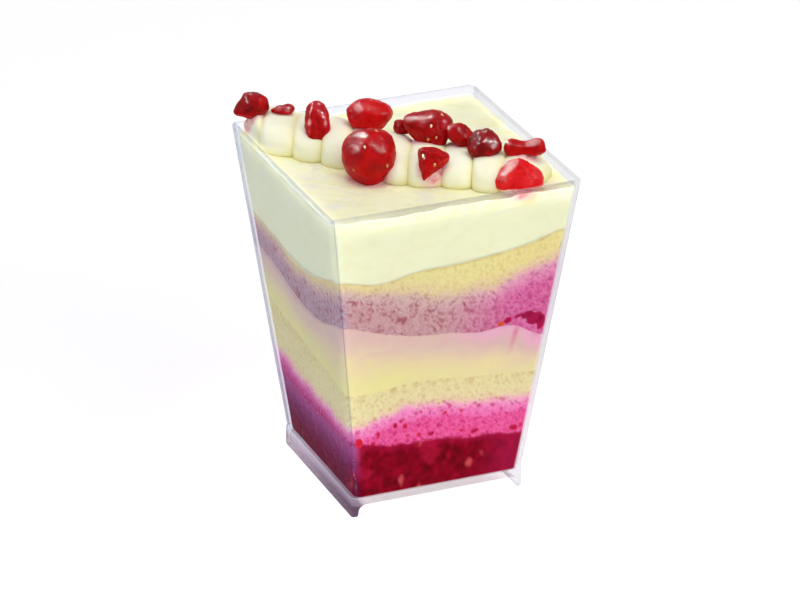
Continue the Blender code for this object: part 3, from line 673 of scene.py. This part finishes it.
def cup_walls(steps=10, lip=5):
    low = FLOOR_UNDER + 0.75
    rings = [(low, 0.0, OUTER_R)]
    for i in range(lip + 1):
        a = i / lip * math.pi / 2
        rings.append((RIM_Z - RIM_ROUND + RIM_ROUND * math.sin(a),
                      RIM_ROUND - RIM_ROUND * math.cos(a), OUTER_R))
    for i in range(lip + 1):
        a = (1 - i / lip) * math.pi / 2
        rings.append((RIM_Z - RIM_ROUND + RIM_ROUND * math.sin(a),
                      WALL - RIM_ROUND + RIM_ROUND * math.cos(a), INNER_R))
    rings.append((low, WALL, INNER_R))
    verts, loops = [], []
    for z, inset, radius in rings:
        start = len(verts)
        verts += rounded_square(outer_half(z) - inset, radius, z, steps)
        loops.append(list(range(start, len(verts))))
    return make_object("cup_clear", verts, loft(loops), smooth_shade=False)


def foot_profile(edge, arc=10):
    drop = FOOT_CORNER_R * (1 - math.sqrt(max(0.0, 1 - edge * edge)))
    lift = RAIL_END_R * (1 - math.sqrt(max(0.0, 1 - edge * edge)))
    xo, xi = FOOT_HALF - drop, FOOT_HALF - RAIL_THICK
    k = (xo - xi) / RAIL_THICK
    pts = [(xo, FLOOR_Z)]
    for i in range(5):
        a = i / 4 * math.pi / 2
        pts.append((xo - 0.30 * k * (1 - math.cos(a)), lift + 0.30 * k * (1 - math.sin(a))))
    for i in range(5):
        a = i / 4 * math.pi / 2
        pts.append((xi + 0.15 * k * (1 - math.sin(a)), lift + 0.2 * k * (1 - math.cos(a))))
    for i in range(arc + 1):
        a = i / arc * math.pi / 2
        pts.append((xi - RAIL_FILLET * (1 - math.cos(a)),
                    FLOOR_UNDER - RAIL_FILLET * (1 - math.sin(a))))
    return pts


def cup_foot():
    stations = [(-(FOOT_HALF - RAIL_END_R + RAIL_END_R * e), e)
                for e in (1.0, 0.985, 0.94, 0.87, 0.77, 0.64, 0.5, 0.34, 0.17, 0.0)]
    stations += [(-y, e) for y, e in reversed(stations)]
    verts, loops = [], []
    for y, e in stations:
        half = foot_profile(e)
        start = len(verts)
        verts += [(x, y, z) for x, z in half] + [(-x, y, z) for x, z in reversed(half)]
        loops.append(list(range(start, len(verts))))
    faces = loft(loops, close=False)
    m = len(loops[0]) // 2
    for ring in (loops[0], loops[-1]):
        for side in (ring[:m], ring[:m - 1:-1]):
            faces += [(side[0], side[i], side[i + 1]) for i in range(1, m - 1)]
        faces.append((ring[0], ring[m - 1], ring[m], ring[-1]))
    return make_object("foot_guide", verts, faces, smooth_shade=False)


def make_cup():
    walls, foot = cup_walls(), cup_foot()
    mod = walls.modifiers.new("join", "BOOLEAN")
    mod.operation, mod.solver, mod.object = "UNION", "EXACT", foot
    dg = bpy.context.evaluated_depsgraph_get()
    mesh = bpy.data.meshes.new_from_object(walls.evaluated_get(dg))
    mesh.name = "cup_clear"
    walls.modifiers.clear()
    walls.data = mesh
    bpy.data.objects.remove(foot, do_unlink=True)
    mesh.materials.clear()
    mesh.materials.append(MAT["cup"])
    mesh.shade_smooth()
    mesh.set_sharp_from_angle(angle=math.radians(24))
    node_piece(walls, "cup", slot="clear_plastic")
    return walls


# ------------------------------------------------------------------- food layers
def perimeter(per_side, per_arc):
    """Arrays A, B: a point of the rounded square is A * (half - r) + B * r."""
    A, B = [], []
    for k in range(4):
        c, s = round(math.cos(k * math.pi / 2)), round(math.sin(k * math.pi / 2))

        def turn(x, y):
            return (c * x - s * y, s * x + c * y)

        for i in range(per_side):
            a = -1 + 2 * i / per_side
            A.append(turn(a, -1))
            B.append(turn(0, -1))
        for i in range(per_arc):
            th = -math.pi / 2 + i / per_arc * math.pi / 2
            A.append(turn(1, -1))
            B.append(turn(math.cos(th), math.sin(th)))
    return np.array(A, float), np.array(B, float)


def food_layer(name, low, high, rows, per_side, relief=None, low_rings=(0.9, 0.7, 0.4, 0.15),
               high_rings=(0.9, 0.7, 0.4, 0.15), top_xy=None, flat_floor=False):
    """A closed solid between two interfaces, its side just inside the wall.
    relief(points, outward) gives how far each side point moves, in mm.
    Returns the object, its points, each point's height above the low interface and how far up the side it lies, 0 to
    1."""
    A, B = perimeter(per_side, 5)
    K = len(A)
    r = FOOD_R
    uv = A * 0.97 + B * 0.03
    u, v = uv[:, 0], uv[:, 1]
    z0, z1 = low(u, v), high(u, v)
    verts, above, frac = [], [], []
    for j in range(rows + 1):
        f = j / rows
        z = z0 + (z1 - z0) * f
        half = wall_half(z) + REACH
        xy = A * (half - r)[:, None] + B * r
        limit = wall_half(z) + CLEAR
        xy[:, 0] = np.minimum(xy[:, 0], limit)
        p = np.column_stack([xy, z])
        n = A * 0.0 + B
        n = n / np.maximum(np.linalg.norm(n, axis=1), 1e-9)[:, None]
        if relief is not None:
            d = relief(p)
            p[:, :2] += n * d[:, None]
        verts.append(p)
        above.append(z - z0)
        frac.append(np.full(K, f))
    loops = [list(range(j * K, (j + 1) * K)) for j in range(rows + 1)]
    faces = loft(loops, close=False)
    count = (rows + 1) * K
    for which, fn, rings, ring0 in ((0, low, low_rings, loops[0]), (1, high, high_rings, loops[-1])):
        edge_xy = verts[0 if which == 0 else rows][:, :2]
        last = ring0
        for s in rings:
            xy = edge_xy * s
            if which == 1 and top_xy is not None:
                z = top_xy(xy[:, 0], xy[:, 1])
            else:
                z = fn(u * s, v * s)
            verts.append(np.column_stack([xy, z]))
            above.append(z * 0 + (z1 - z0).mean() * which)
            frac.append(np.full(K, float(which)))
            new = list(range(count, count + K))
            count += K
            quads = loft([last, new], close=False)
            faces += [tuple(reversed(q)) for q in quads] if which == 0 else quads
            last = new
        zc = top_xy(np.zeros(1), np.zeros(1)) if (which == 1 and top_xy is not None) else fn(np.zeros(1), np.zeros(1))
        verts.append(np.array([[0.0, 0.0, float(zc[0])]]))
        above.append(np.zeros(1))
        frac.append(np.full(1, float(which)))
        faces += [(last[i], last[(i + 1) % K], count) for i in range(K)]
        count += 1
    verts = np.vstack(verts)
    ob = make_object(name, verts, faces)
    if top_xy is None:
        ob.data.set_sharp_from_angle(angle=math.radians(50))
    return ob, verts, np.concatenate(above), np.concatenate(frac)


def pore_relief(p):
    """Pores of the crumb, pressed against the wall: up to 0.22 mm deep."""
    d1, t1 = worley(p, 1.9, 40)
    d2, t2 = worley(p, 1.0, 50)
    a = (1 - smooth(d1, 0.10, 0.34)) * (t1 > 0.45)
    b = (1 - smooth(d2, 0.12, 0.40)) * (t2 > 0.40) * 0.7
    return -0.20 * np.maximum(a, b) + 0.03 * fbm(p, 1.2, 2, 9) - 0.03


def soft_relief(p):
    return 0.015 * fbm(p, 7.0, 2, 12) - 0.02


def lumpy_relief(p):
    return 0.05 * fbm(p, 3.0, 3, 14) - 0.05


def level(name):
    return lambda u, v: uneven(name, u, v)


def floor_level(u, v):
    return np.full_like(np.asarray(u, float), FLOOR_Z + 0.06)


def sides(verts):
    """Fractions of the half side in X and Y at each point's own height."""
    half = wall_half(verts[:, 2])
    return verts[:, 0] / half, verts[:, 1] / half


def make_layers():
    fine = 150
    # compote
    ob, v, above, frac = food_layer("compote_jelly", floor_level, level("compote_top"), 34 if fine > 100 else 18, fine, lumpy_relief)
    u, w = sides(v)
    attribute(ob, "up", frac)
    attribute(ob, "right", np.clip(u, 0, 1))
    # face marks the -X face, which the compote and sponge materials mainly paint with shade and wall reflection
    attribute(ob, "face", smooth(-u, 0.90, 0.99))
    ob.data.materials.append(MAT["compote"])
    node_piece(ob, "compote", slot="compote")
    # lower sponge: soaked pink from the compote upwards
    ob, v, above, frac = food_layer("sponge_lower_crumb", level("compote_top"), level("lower_sponge_top"), 44 if fine > 100 else 22, fine, pore_relief)
    u, w = sides(v)
    rise = curve((3.6, 7.6, 10.4, 10.2, 9.8, 9.4, 9.8), u)
    rise = rise + (curve((3.6, 7.5, 8.0, 9.0, 10.0), w) - 3.6) * 0.35
    p = np.column_stack([v[:, 0], v[:, 1], v[:, 2]])
    rise = rise + 0.9 * fbm(p, 5.0, 2, 60)
    attribute(ob, "soak", 0.5 + (rise - above) / 8.0)
    attribute(ob, "low", np.clip(1 - above / 2.0, 0, 1))
    attribute(ob, "side", (u + 1) / 2)
    attribute(ob, "face", smooth(-u, 0.90, 0.99))
    attribute(ob, "crust", smooth(frac, 0.80, 0.99) * smooth(fbm(v, 1.5, 3, 64), -0.15, 0.45) * 0.9)
    ob.data.materials.append(MAT["sponge_lower"])
    node_piece(ob, "sponge_lower", slot="sponge_lower")
    # custard: yellow below and to the left, blushing pink above and to the right
    ob, v, above, frac = food_layer("custard_set", level("lower_sponge_top"), level("custard_top"), 26 if fine > 100 else 14, fine, soft_relief)
    u, w = sides(v)
    blush = (0.10 + 0.62 * smooth(frac, 0.10, 0.95) + 0.22 * smooth(u, -0.5, 0.9) * (0.5 + frac)
             - 0.10 * smooth(-u, 0.2, 1.0) * (1 - frac))
    attribute(ob, "blush", blush)
    front = v[:, 1] < 0
    lean = v[:, 0] - (17.5 + (v[:, 2] - 42.0) * 0.22)
    streak = np.exp(-(lean / 0.7) ** 2) * smooth(v[:, 2], 37.5, 43.0) * (1 - smooth(v[:, 2], 45.0, 48.5)) * front
    streak = np.maximum(streak, np.exp(-((v[:, 0] - 24.5 - (v[:, 2] - 44.5) * 0.5) / 1.4) ** 2) * np.exp(-((v[:, 2] - 44.5) / 2.2) ** 2) * front)
    attribute(ob, "streak", streak * (0.7 + 0.6 * fbm(p[:1].repeat(len(v), 0) * 0 + v, 1.6, 3, 66)))
    ob.data.materials.append(MAT["custard"])
    node_piece(ob, "custard", slot="custard")
    # upper sponge
    ob, v, above, frac = food_layer("sponge_upper_crumb", level("custard_top"), level("upper_sponge_top"), 50 if fine > 100 else 24, fine, pore_relief)
    u, w = sides(v)
    turn = curve((64.0, 61.6, 59.6, 57.6, 57.8, 60.4, 63.5), u) + (curve((64.0, 59.0, 57.5, 59.5, 60.5), w) - 64.0) * 0.9
    turn = turn + 1.0 * fbm(v, 6.0, 2, 61)
    attribute(ob, "soak", 0.5 + (turn - v[:, 2]) / 10.0)
    attribute(ob, "low", np.clip(1 - above / 1.6, 0, 1))
    attribute(ob, "face", smooth(-u, 0.90, 0.99))
    attribute(ob, "side", np.clip((u + 1) / 2 - 0.010 * np.maximum(v[:, 2] - 58, 0), 0, 1))
    A, B = perimeter(fine, 5)
    top = above / np.maximum(above.max(), 1e-6)
    attribute(ob, "crust", smooth(frac, 0.955, 0.995) * (0.7 + 0.5 * fbm(v, 3.0, 2, 62)))
    ob.data.materials.append(MAT["sponge_upper"])
    node_piece(ob, "sponge_upper", slot="sponge_upper")
    # cream
    rings = tuple(1 - (i / 62) ** 1.0 * 0.985 for i in range(1, 63)) if fine > 100 else tuple(1 - i / 30 * 0.98 for i in range(1, 31))

    def cream_edge(u, v):
        half = wall_half(CREAM_EDGE_Z) + REACH
        return cream_top(u * half, v * half)

    ob, v, above, frac = food_layer("cream_whipped", level("upper_sponge_top"), cream_edge, 30, fine, soft_relief,
                                    high_rings=rings, top_xy=cream_top)
    fruit_near = stain_at(v)
    on_top = smooth(v[:, 2], 79.5, 81.2)
    juice = np.exp(-((v[:, 0] - 17.0 + 1.2 * fbm(v, 2.0, 2, 63)) / 3.6) ** 2) * (v[:, 1] < -29) * smooth(v[:, 2], 80.6, 82.6)
    extra = 0.75 * juice + 0.30 * np.exp(-(((v[:, 0] - 26.0) / 4.0) ** 2 + ((v[:, 1] + 26.5) / 4.5) ** 2)) * on_top
    attribute(ob, "stain", fruit_near * on_top * 0.8 + extra)
    # painted shade on the flat cream along the rope's foot
    attribute(ob, "painted_crease_shade", rope_shade(v) * on_top)
    ob.data.materials.append(MAT["cream"])
    node_piece(ob, "cream", slot="cream")


# -------------------------------------------------------------------- piped rope
def lobe(t):
    out = np.zeros_like(t)
    for a, b in zip(ROPE_GROOVES, ROPE_GROOVES[1:]):
        w = np.abs(2 * (t - a) / (b - a) - 1)
        out = np.where((t >= a) & (t <= b), np.maximum(0.0, 1 - np.minimum(w, 1.0) ** 2.2) ** 0.84, out)
    return out


def rope_section(t):
    k = lobe(t)
    front = ROPE_FRONT + ROPE_FRONT_BULGE * np.exp(-((t - BULGE_T) / BULGE_WIDTH) ** 2)
    centre = front - ROPE_HALF_WIDTH
    width = ROPE_HALF_WIDTH * (1 - GROOVE_NARROWING * (1 - k))
    height = ROPE_HEIGHT * (1 - GROOVE_DEPTH * (1 - k))
    room = RIM_HALF * ROOT2 - 3.6 - np.abs(t)
    width = np.minimum(width, room - np.abs(centre))
    end = np.minimum(1.0, np.minimum(np.maximum(0.0, (t - ROPE_GROOVES[0]) / 5.0),
                                     np.maximum(0.0, (ROPE_GROOVES[-1] - t) / 4.0)))
    height = height * (0.42 + 0.58 * end ** 0.6)
    width = width * (0.80 + 0.20 * np.minimum(1.0, np.maximum(0.0, (ROPE_GROOVES[-1] - t) / 3.0)) ** 0.5)
    return centre, width, height, k


def slanted(t, behind):
    ease = 1 - (np.maximum(0.0, np.abs(t + 4.0) - 24.0) / 16.0) ** 2
    return t + ROPE_SLANT * behind * np.maximum(0.0, ease)


def fruit_places():
    out = []
    for name, spec in FRUIT.items():
        t, s, z = spec["at"]
        x, y = ts_to_xy(t, s)
        out.append((name, np.array([x, y, z]), np.array(spec["r"], float)))
    return out


def stain_at(p):
    """How much juice has run into the cream at each point, 0 to 1."""
    total = np.zeros(len(p))
    for name, c, r in fruit_places():
        d = p - c
        d[:, 2] = np.where(d[:, 2] < 0, d[:, 2] * 0.55, d[:, 2] * 1.6)
        q = np.sqrt(((d / (r.mean() * 0.98)) ** 2).sum(1))
        total = np.maximum(total, np.exp(-np.maximum(q - 0.9, 0) / 0.20) * 0.75)
    return total


def rope_shade(p):
    """Painted olive shade (a deeper cream colour) on the flat cream close to the rope's foot."""
    t, s = (p[:, 0] - p[:, 1]) / ROOT2, (-p[:, 0] - p[:, 1]) / ROOT2
    front = ROPE_FRONT + ROPE_FRONT_BULGE * np.exp(-((t - BULGE_T) / BULGE_WIDTH) ** 2)
    k = lobe(t)
    edge = front - 2 * ROPE_HALF_WIDTH * GROOVE_NARROWING * (1 - k) * 0.5
    return np.exp(-np.abs(s - edge) / 0.7) * (np.abs(t) < 37)


def make_rope():
    steps = 18
    around = 72
    ts = []
    for a, b in zip(ROPE_GROOVES, ROPE_GROOVES[1:]):
        w = (1 - np.cos(np.linspace(0, math.pi, steps, endpoint=False))) / 2
        ts += list(a + (0.35 * np.linspace(0, 1, steps, endpoint=False) + 0.65 * w) * (b - a))
    ts.append(ROPE_GROOVES[-1])
    ts = np.array(ts)
    tt = np.clip(ts, ROPE_GROOVES[0] + 0.15, ROPE_GROOVES[-1] - 0.15)
    centre, width, height, k = rope_section(tt)
    # each roll differs a little in height, reach and fullness
    roll = np.searchsorted(np.array(ROPE_GROOVES), tt) - 1
    vary = np.sin(roll * 2.4 + 1.0)
    e = 2.0 / ROPE_SECTION_POWER
    lim = wall_half(CREAM_EDGE_Z - 1.0) - 0.02
    rings, painted_crease_shade = [], []
    ang = np.linspace(0, math.pi, around + 1)
    c, s = np.cos(ang), np.sin(ang)
    cs, ss = np.sign(c) * np.abs(c) ** e, np.abs(s) ** e
    under = np.linspace(-1, 1, 9)[1:-1]
    for i, t in enumerate(ts):
        off = width[i] * cs * (1 + 0.02 * vary[i])
        up = height[i] * ss * (1 + 0.03 * vary[i])
        # the roll's crown sags towards its front, and its foot bulges
        up = up - 0.5 * smooth(cs, 0.35, 0.95) * ss
        tq = slanted(np.full_like(off, t), off - width[i])
        x, y = ts_to_xy(tq, centre[i] + off)
        x, y = np.clip(x, -lim, lim), np.clip(y, -lim, lim)
        z = cream_z(x, y) + 0.12 + up
        top = np.column_stack([x, y, z])
        offu = width[i] * under
        tq = slanted(np.full_like(offu, t), offu - width[i])
        x, y = ts_to_xy(tq, centre[i] + offu)
        x, y = np.clip(x, -lim, lim), np.clip(y, -lim, lim)
        bottom = np.column_stack([x, y, cream_z(x, y) - 0.5])
        top[0, 2] -= 0.45
        top[-1, 2] -= 0.45
        rings.append(np.vstack([top, bottom]))
        painted_crease_shade.append(np.full(len(top) + len(bottom), 1 - k[i]))
    rings = np.array(rings)
    painted_crease_shade = np.array(painted_crease_shade)
    flat = rings.reshape(-1, 3)
    # folds and dimples of soft cream
    cen = np.column_stack([flat[:, 0], flat[:, 1], np.full(len(flat), CREAM_EDGE_Z + 1.0)])
    line_t = (flat[:, 0] - flat[:, 1]) / ROOT2
    axis = np.column_stack([*ts_to_xy(line_t, np.interp(line_t, ts, centre)), np.full(len(flat), CREAM_EDGE_Z + 1.0)])
    out = flat - axis
    out /= np.maximum(np.linalg.norm(out, axis=1), 1e-6)[:, None]
    amount = 0.20 * fbm(flat, 3.0, 3, 31) + 0.05 * fbm(flat, 0.9, 2, 33)
    flat = flat + out * amount[:, None]
    flat[:, 0] = np.clip(flat[:, 0], -lim, lim)
    flat[:, 1] = np.clip(flat[:, 1], -lim, lim)
    n = rings.shape[1]
    loops = [list(range(i * n, (i + 1) * n)) for i in range(len(ts))]
    faces = loft(loops, close=False)
    faces += [tuple(loops[0]), tuple(reversed(loops[-1]))]
    ob = make_object("rope_piped", flat, faces)
    attribute(ob, "stain", stain_at(flat))
    # painted shade along the rolls' foot and in the grooves between them
    foot = 1 - smooth(flat[:, 2] - cream_z(flat[:, 0], flat[:, 1]), 0.2, 1.6)
    cr = np.clip((painted_crease_shade.ravel() ** 2.2) * 1.0, 0, 1)
    attribute(ob, "painted_crease_shade", np.clip(cr * 0.8 + foot * 0.6, 0, 1))
    ob.data.materials.append(MAT["piping"])
    node_piece(ob, "piping", slot="piping")
    return ob


# ------------------------------------------------------------------------- fruit
def fruit_surface(n, name, spec, grow=0.0):
    """Points in the fruit's own axes for unit directions n (m, 3)."""
    p = spec["power"]
    k = (np.abs(n) ** p).sum(1) ** (-1.0 / p)
    ph = spec["phase"]
    x, y, z = n[:, 0], n[:, 1], n[:, 2]
    bump = (np.sin(3.1 * x + 2.3 * z + ph) * np.sin(2.7 * y - 1.9 * z + 2 * ph)
            + 0.6 * np.sin(5.3 * x - 4.1 * y + 3 * ph)
            + 0.5 * np.sin(6.1 * z + 3.7 * x + 5 * ph)) / 1.6
    q = n * (k * (1 + spec["bump"] * bump))[:, None]
    for *c, d in FRUIT_CUTS.get(name, ()):
        c = np.array(c, float)
        c /= np.linalg.norm(c)
        over = q @ c - d
        q = q - c * (0.05 * np.logaddexp(0, (over - 0.10) / 0.05))[:, None] * 0.80
    taper = 1 + spec["taper"] * q[:, 2]
    side = 1 + spec.get("side_taper", 0.0) * q[:, 0]
    thin = 1 - spec.get("saddle", 0.0) * np.exp(-(q[:, 0] / 0.45) ** 2)
    rx, ry, rz = (r + grow for r in spec["r"])
    return np.column_stack([q[:, 0] * rx * taper, q[:, 1] * ry * taper * thin * side,
                            q[:, 2] * rz * thin * side])


def fruit_turn(spec):
    return np.array(Matrix.Rotation(math.radians(-FACING), 3, "Z")
                    @ Matrix.Rotation(math.radians(spec["lean"]), 3, "X")
                    @ Matrix.Rotation(math.radians(-spec["spin"]), 3, "Y"))


def make_fruit():
    level_ = 5
    seeds_v, seeds_f = [], []
    for name, spec in FRUIT.items():
        bm = bmesh.new()
        bmesh.ops.create_icosphere(bm, subdivisions=level_, radius=1.0)
        n = np.array([v.co[:] for v in bm.verts])
        faces = [tuple(v.index for v in f.verts) for f in bm.faces]
        bm.free()
        n /= np.linalg.norm(n, axis=1)[:, None]
        bright, seeds = FRUIT_LOOK[name]
        p = fruit_surface(n, name, spec)
        size = float(np.mean(spec["r"]))
        seed_id = int(spec["phase"] * 10) + 100
        # torn, glazed flesh: soft facets, then small lumps
        facet, tag = worley(p, size * 0.75, seed_id)
        lump = 0.055 * size * (0.5 - facet) + 0.24 * fbm(p, 1.9, 3, seed_id) + 0.08 * fbm(p, 0.6, 2, seed_id + 5)
        hollow = np.zeros(len(p))
        if seeds:
            dirs = np.array(seeds, float)
            dirs /= np.linalg.norm(dirs, axis=1)[:, None]
            at = fruit_surface(dirs, name, spec)
            for d, a in zip(dirs, at):
                dist = np.linalg.norm(p - a, axis=1)
                hollow = np.maximum(hollow, np.exp(-(dist / 0.55) ** 2))
                lump += 0.07 * np.exp(-((dist - 0.95) / 0.35) ** 2)
            lump -= 0.26 * hollow
        p = p + n * lump[:, None]
        turn = fruit_turn(spec)
        t, s, z = spec["at"]
        centre = np.array([*ts_to_xy(t, s), z])
        world = p @ turn.T + centre
        ob = make_object(name + "_glazed", world, faces)
        attribute(ob, "bright", np.full(len(p), bright))
        attribute(ob, "hollow", hollow)
        ob.data.materials.append(MAT["fruit"])
        node_piece(ob, name, slot="fruit")
        if seeds:
            # a seed lies in each hollow, long axis down the fruit
            sb = bmesh.new()
            bmesh.ops.create_icosphere(sb, subdivisions=3, radius=1.0)
            sv = np.array([v.co[:] for v in sb.verts])
            sf = [tuple(v.index for v in f.verts) for f in sb.faces]
            sb.free()
            for d, a in zip(dirs, at):
                nrm = d / np.array(spec["r"])
                nrm /= np.linalg.norm(nrm)
                down = np.array([0.15, 0.0, -1.0])
                long = down - nrm * (down @ nrm)
                long /= np.linalg.norm(long)
                across = np.cross(nrm, long)
                body = sv * np.array([0.52, 0.30, 0.20])
                body[:, 1] *= 1 - 0.35 * sv[:, 0]
                local = (body[:, :1] * long + body[:, 1:2] * across + body[:, 2:] * nrm) + a - nrm * 0.20
                pts = local @ turn.T + centre
                base = sum(len(x) for x in seeds_v)
                seeds_v.append(pts)
                seeds_f += [tuple(i + base for i in f) for f in sf]
    ob = make_object("fruit_seeds", np.vstack(seeds_v), seeds_f)
    ob.data.materials.append(MAT["seed"])
    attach(ob, "root")


# ------------------------------------------------- bits of berry inside the layers
BITS = (  # x, z, half sizes along X and Z, turn, tone (0 dark, 1 orange)
    (14.0, 47.9, 1.0, 0.7, 12, 0.95), (15.7, 48.6, 1.1, 0.9, 25, 0.30),
    (23.0, 48.0, 2.4, 1.9, 8, 0.22), (24.6, 46.6, 1.1, 2.2, -6, 0.32),
    (20.8, 49.3, 1.7, 1.0, 26, 0.10), (18.6, 49.4, 1.4, 0.45, 16, 0.20),
    (-21.4, 21.0, 0.9, 1.5, 6, 0.68), (-12.2, 24.2, 0.6, 0.8, 0, 0.50),
    (-16.6, 22.6, 0.5, 0.6, 30, 0.55), (9.0, 18.4, 1.2, 0.6, 10, 0.42),
    (19.5, 17.4, 1.1, 0.8, -15, 0.50), (-2.5, 20.0, 0.9, 0.6, 20, 0.40),
)


def bit_material():
    m = Nodes("berry_bits")
    tone = m.math("ADD", m.attr("bright"), m.math("MULTIPLY", m.math("SUBTRACT", m.noise(1.0, 4, 0.6), 0.5), 0.7))
    col = m.ramp(tone, [(0.0, srgb(150, 16, 66)), (0.35, srgb(178, 20, 72)), (0.72, srgb(206, 30, 48)),
                        (1.0, srgb(222, 88, 30))])
    m.set(Base_Color=col, Roughness=m.span(m.noise(0.8, 3), 0.3, 0.7, 0.3, 0.5), Normal=m.bump(m.noise(0.7, 4), 0.4, 0.15))
    m.bsdf.inputs["Specular IOR Level"].default_value = 0.05
    soft(m, 0.3, 0.8, (1.0, 0.2, 0.2))
    return m.mat


def make_bits():
    bm = bmesh.new()
    bmesh.ops.create_icosphere(bm, subdivisions=4, radius=1.0)
    n = np.array([v.co[:] for v in bm.verts])
    f = [tuple(v.index for v in g.verts) for g in bm.faces]
    bm.free()
    verts, faces, tone = [], [], []
    for i, (x, z, a, b, turn, t) in enumerate(BITS):
        p = n * np.array([a, 3.0, b]) * (1 + 0.22 * fbm(n * 3 + i * 9.7, 2.0, 3, 70))[:, None]
        c, q = math.cos(math.radians(turn)), math.sin(math.radians(turn))
        p = np.column_stack([p[:, 0] * c - p[:, 2] * q, p[:, 1], p[:, 0] * q + p[:, 2] * c])
        p += np.array([x, 0.0, z])
        face = -(wall_half(p[:, 2]) + REACH + 0.05)
        p[:, 1] += -wall_half(z) + 0.62
        p[:, 1] = np.maximum(p[:, 1], face)
        p[:, 0] = np.maximum(p[:, 0], face)
        faces += [tuple(k + i * len(n) for k in g) for g in f]
        verts.append(p)
        tone += [t] * len(n)
    ob = make_object("berry_bits", np.vstack(verts), faces)
    attribute(ob, "bright", tone)
    ob.data.materials.append(bit_material())
    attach(ob, "root")


# ------------------------------------------------------------------------- stage
def make_stage():
    bm = bmesh.new()
    bmesh.ops.create_circle(bm, cap_ends=True, segments=96, radius=4.0)
    mesh = bpy.data.meshes.new("floor")
    bm.to_mesh(mesh)
    bm.free()
    floor = bpy.data.objects.new("floor", mesh)
    bpy.context.scene.collection.objects.link(floor)
    m = Nodes("floor")
    m.set(Base_Color=m.ramp(m.noise(900.0, 2), [(0.0, (0.62, 0.62, 0.625)), (1.0, (0.64, 0.64, 0.64))]), Roughness=0.9)
    m.bsdf.inputs["Specular IOR Level"].default_value = 0.0
    # lit from below, a little more under the cup, so that it stands in hardly any shadow
    x, y, _ = m.xyz()
    away = m.math("SQRT", m.math("ADD", m.math("MULTIPLY", x, x), m.math("MULTIPLY", y, y)))
    m.set(Emission_Color=m.mix(m.span(away, 16.0, 80.0), (1, 1, 1, 1), (0.55, 0.55, 0.55, 1)))
    m.bsdf.inputs["Emission Strength"].default_value = 0.87
    mesh.materials.append(m.mat)
    floor.visible_glossy = False      # the plastic and the wet fruit mirror dark cloth below them

    world = bpy.data.worlds.new("studio")
    bpy.context.scene.world = world
    world.use_nodes = True
    nt = world.node_tree
    bg = nt.nodes["Background"]
    tc = nt.nodes.new("ShaderNodeTexCoord")
    sep = nt.nodes.new("ShaderNodeSeparateXYZ")
    nt.links.new(tc.outputs["Generated"], sep.inputs[0])
    height = nt.nodes.new("ShaderNodeMapRange")
    height.inputs[1].default_value = -1.0
    nt.links.new(sep.outputs[2], height.inputs[0])
    ramp = nt.nodes.new("ShaderNodeValToRGB")
    ramp.color_ramp.elements[0].position = 0.470
    ramp.color_ramp.elements[0].color = (0.22, 0.21, 0.24, 1)
    ramp.color_ramp.elements[1].position = 0.70
    ramp.color_ramp.elements[1].color = (0.32, 0.31, 0.36, 1)
    for pos in (0.485, 0.525):
        ramp.color_ramp.elements.new(pos).color = (0.92, 0.92, 0.93, 1)
    nt.links.new(height.outputs[0], ramp.inputs[0])
    nt.links.new(ramp.outputs[0], bg.inputs[0])
    bg.inputs[1].default_value = 1.0

    def lamp(name, where, target, size, power, colour=(1, 1, 1), mirrored=False):
        data = bpy.data.lights.new(name, "AREA")
        data.shape = "RECTANGLE"
        data.size, data.size_y = size
        data.energy = power
        data.color = colour
        data.use_shadow = True
        ob = bpy.data.objects.new(name, data)
        bpy.context.scene.collection.objects.link(ob)
        ob.location = where
        ob.rotation_euler = (Vector(target) - Vector(where)).to_track_quat("-Z", "Y").to_euler()
        ob.visible_glossy = mirrored
        ob.visible_diffuse = not mirrored
        return ob

    # large soft lamps, and small ones that show as glints in the wet fruit
    lamp("key", (0.50, -1.12, 0.85), (0, 0, 0.05), (0.80, 0.80), 5.3)
    lamp("top", (0.05, -0.05, 1.3), (0, 0, 0.05), (1.1, 1.1), 8.8)
    lamp("glint_back", (-0.34, 0.72, 0.68), (0, 0, 0.08), (0.14, 0.14), 26.0, mirrored=True)
    lamp("glint_top", (-0.22, 0.34, 1.0), (0, 0, 0.08), (0.14, 0.14), 26.0, mirrored=True)
    lamp("glint_front", (0.45, -0.62, 0.78), (0, 0, 0.08), (0.14, 0.14), 26.0, mirrored=True)
    lamp("glint_left", (-0.86, 0.10, 0.62), (0, 0, 0.08), (0.12, 0.16), 26.0, mirrored=True)


def make_camera():
    el, az, roll = 0.43733825, 0.40060518, 0.00450037
    d = Vector((math.cos(el) * math.sin(az), math.cos(el) * math.cos(az), -math.sin(el)))
    r = d.cross(Vector((0, 0, 1))).normalized()
    u = r.cross(d)
    c, s = math.cos(roll), math.sin(roll)
    r2, u2 = c * r + s * u, -s * r + c * u
    data = bpy.data.cameras.new("camera")
    data.sensor_width, data.lens = 36.0, 217.0
    data.clip_start, data.clip_end = 0.05, 20.0
    ob = bpy.data.objects.new("camera", data)
    bpy.context.scene.collection.objects.link(ob)
    where = Vector((-0.41707, -0.98260, 0.54411))
    ob.matrix_world = Matrix(((r2.x, u2.x, -d.x, where.x), (r2.y, u2.y, -d.y, where.y),
                              (r2.z, u2.z, -d.z, where.z), (0, 0, 0, 1)))
    bpy.context.scene.camera = ob
    bpy.context.scene.view_settings.view_transform = "Standard"
    cy = bpy.context.scene.cycles
    cy.max_bounces, cy.glossy_bounces = 28, 24
    cy.transmission_bounces, cy.diffuse_bounces = 24, 4


make_camera()
make_stage()
make_cup()
make_layers()
make_rope()
make_fruit()
make_bits()
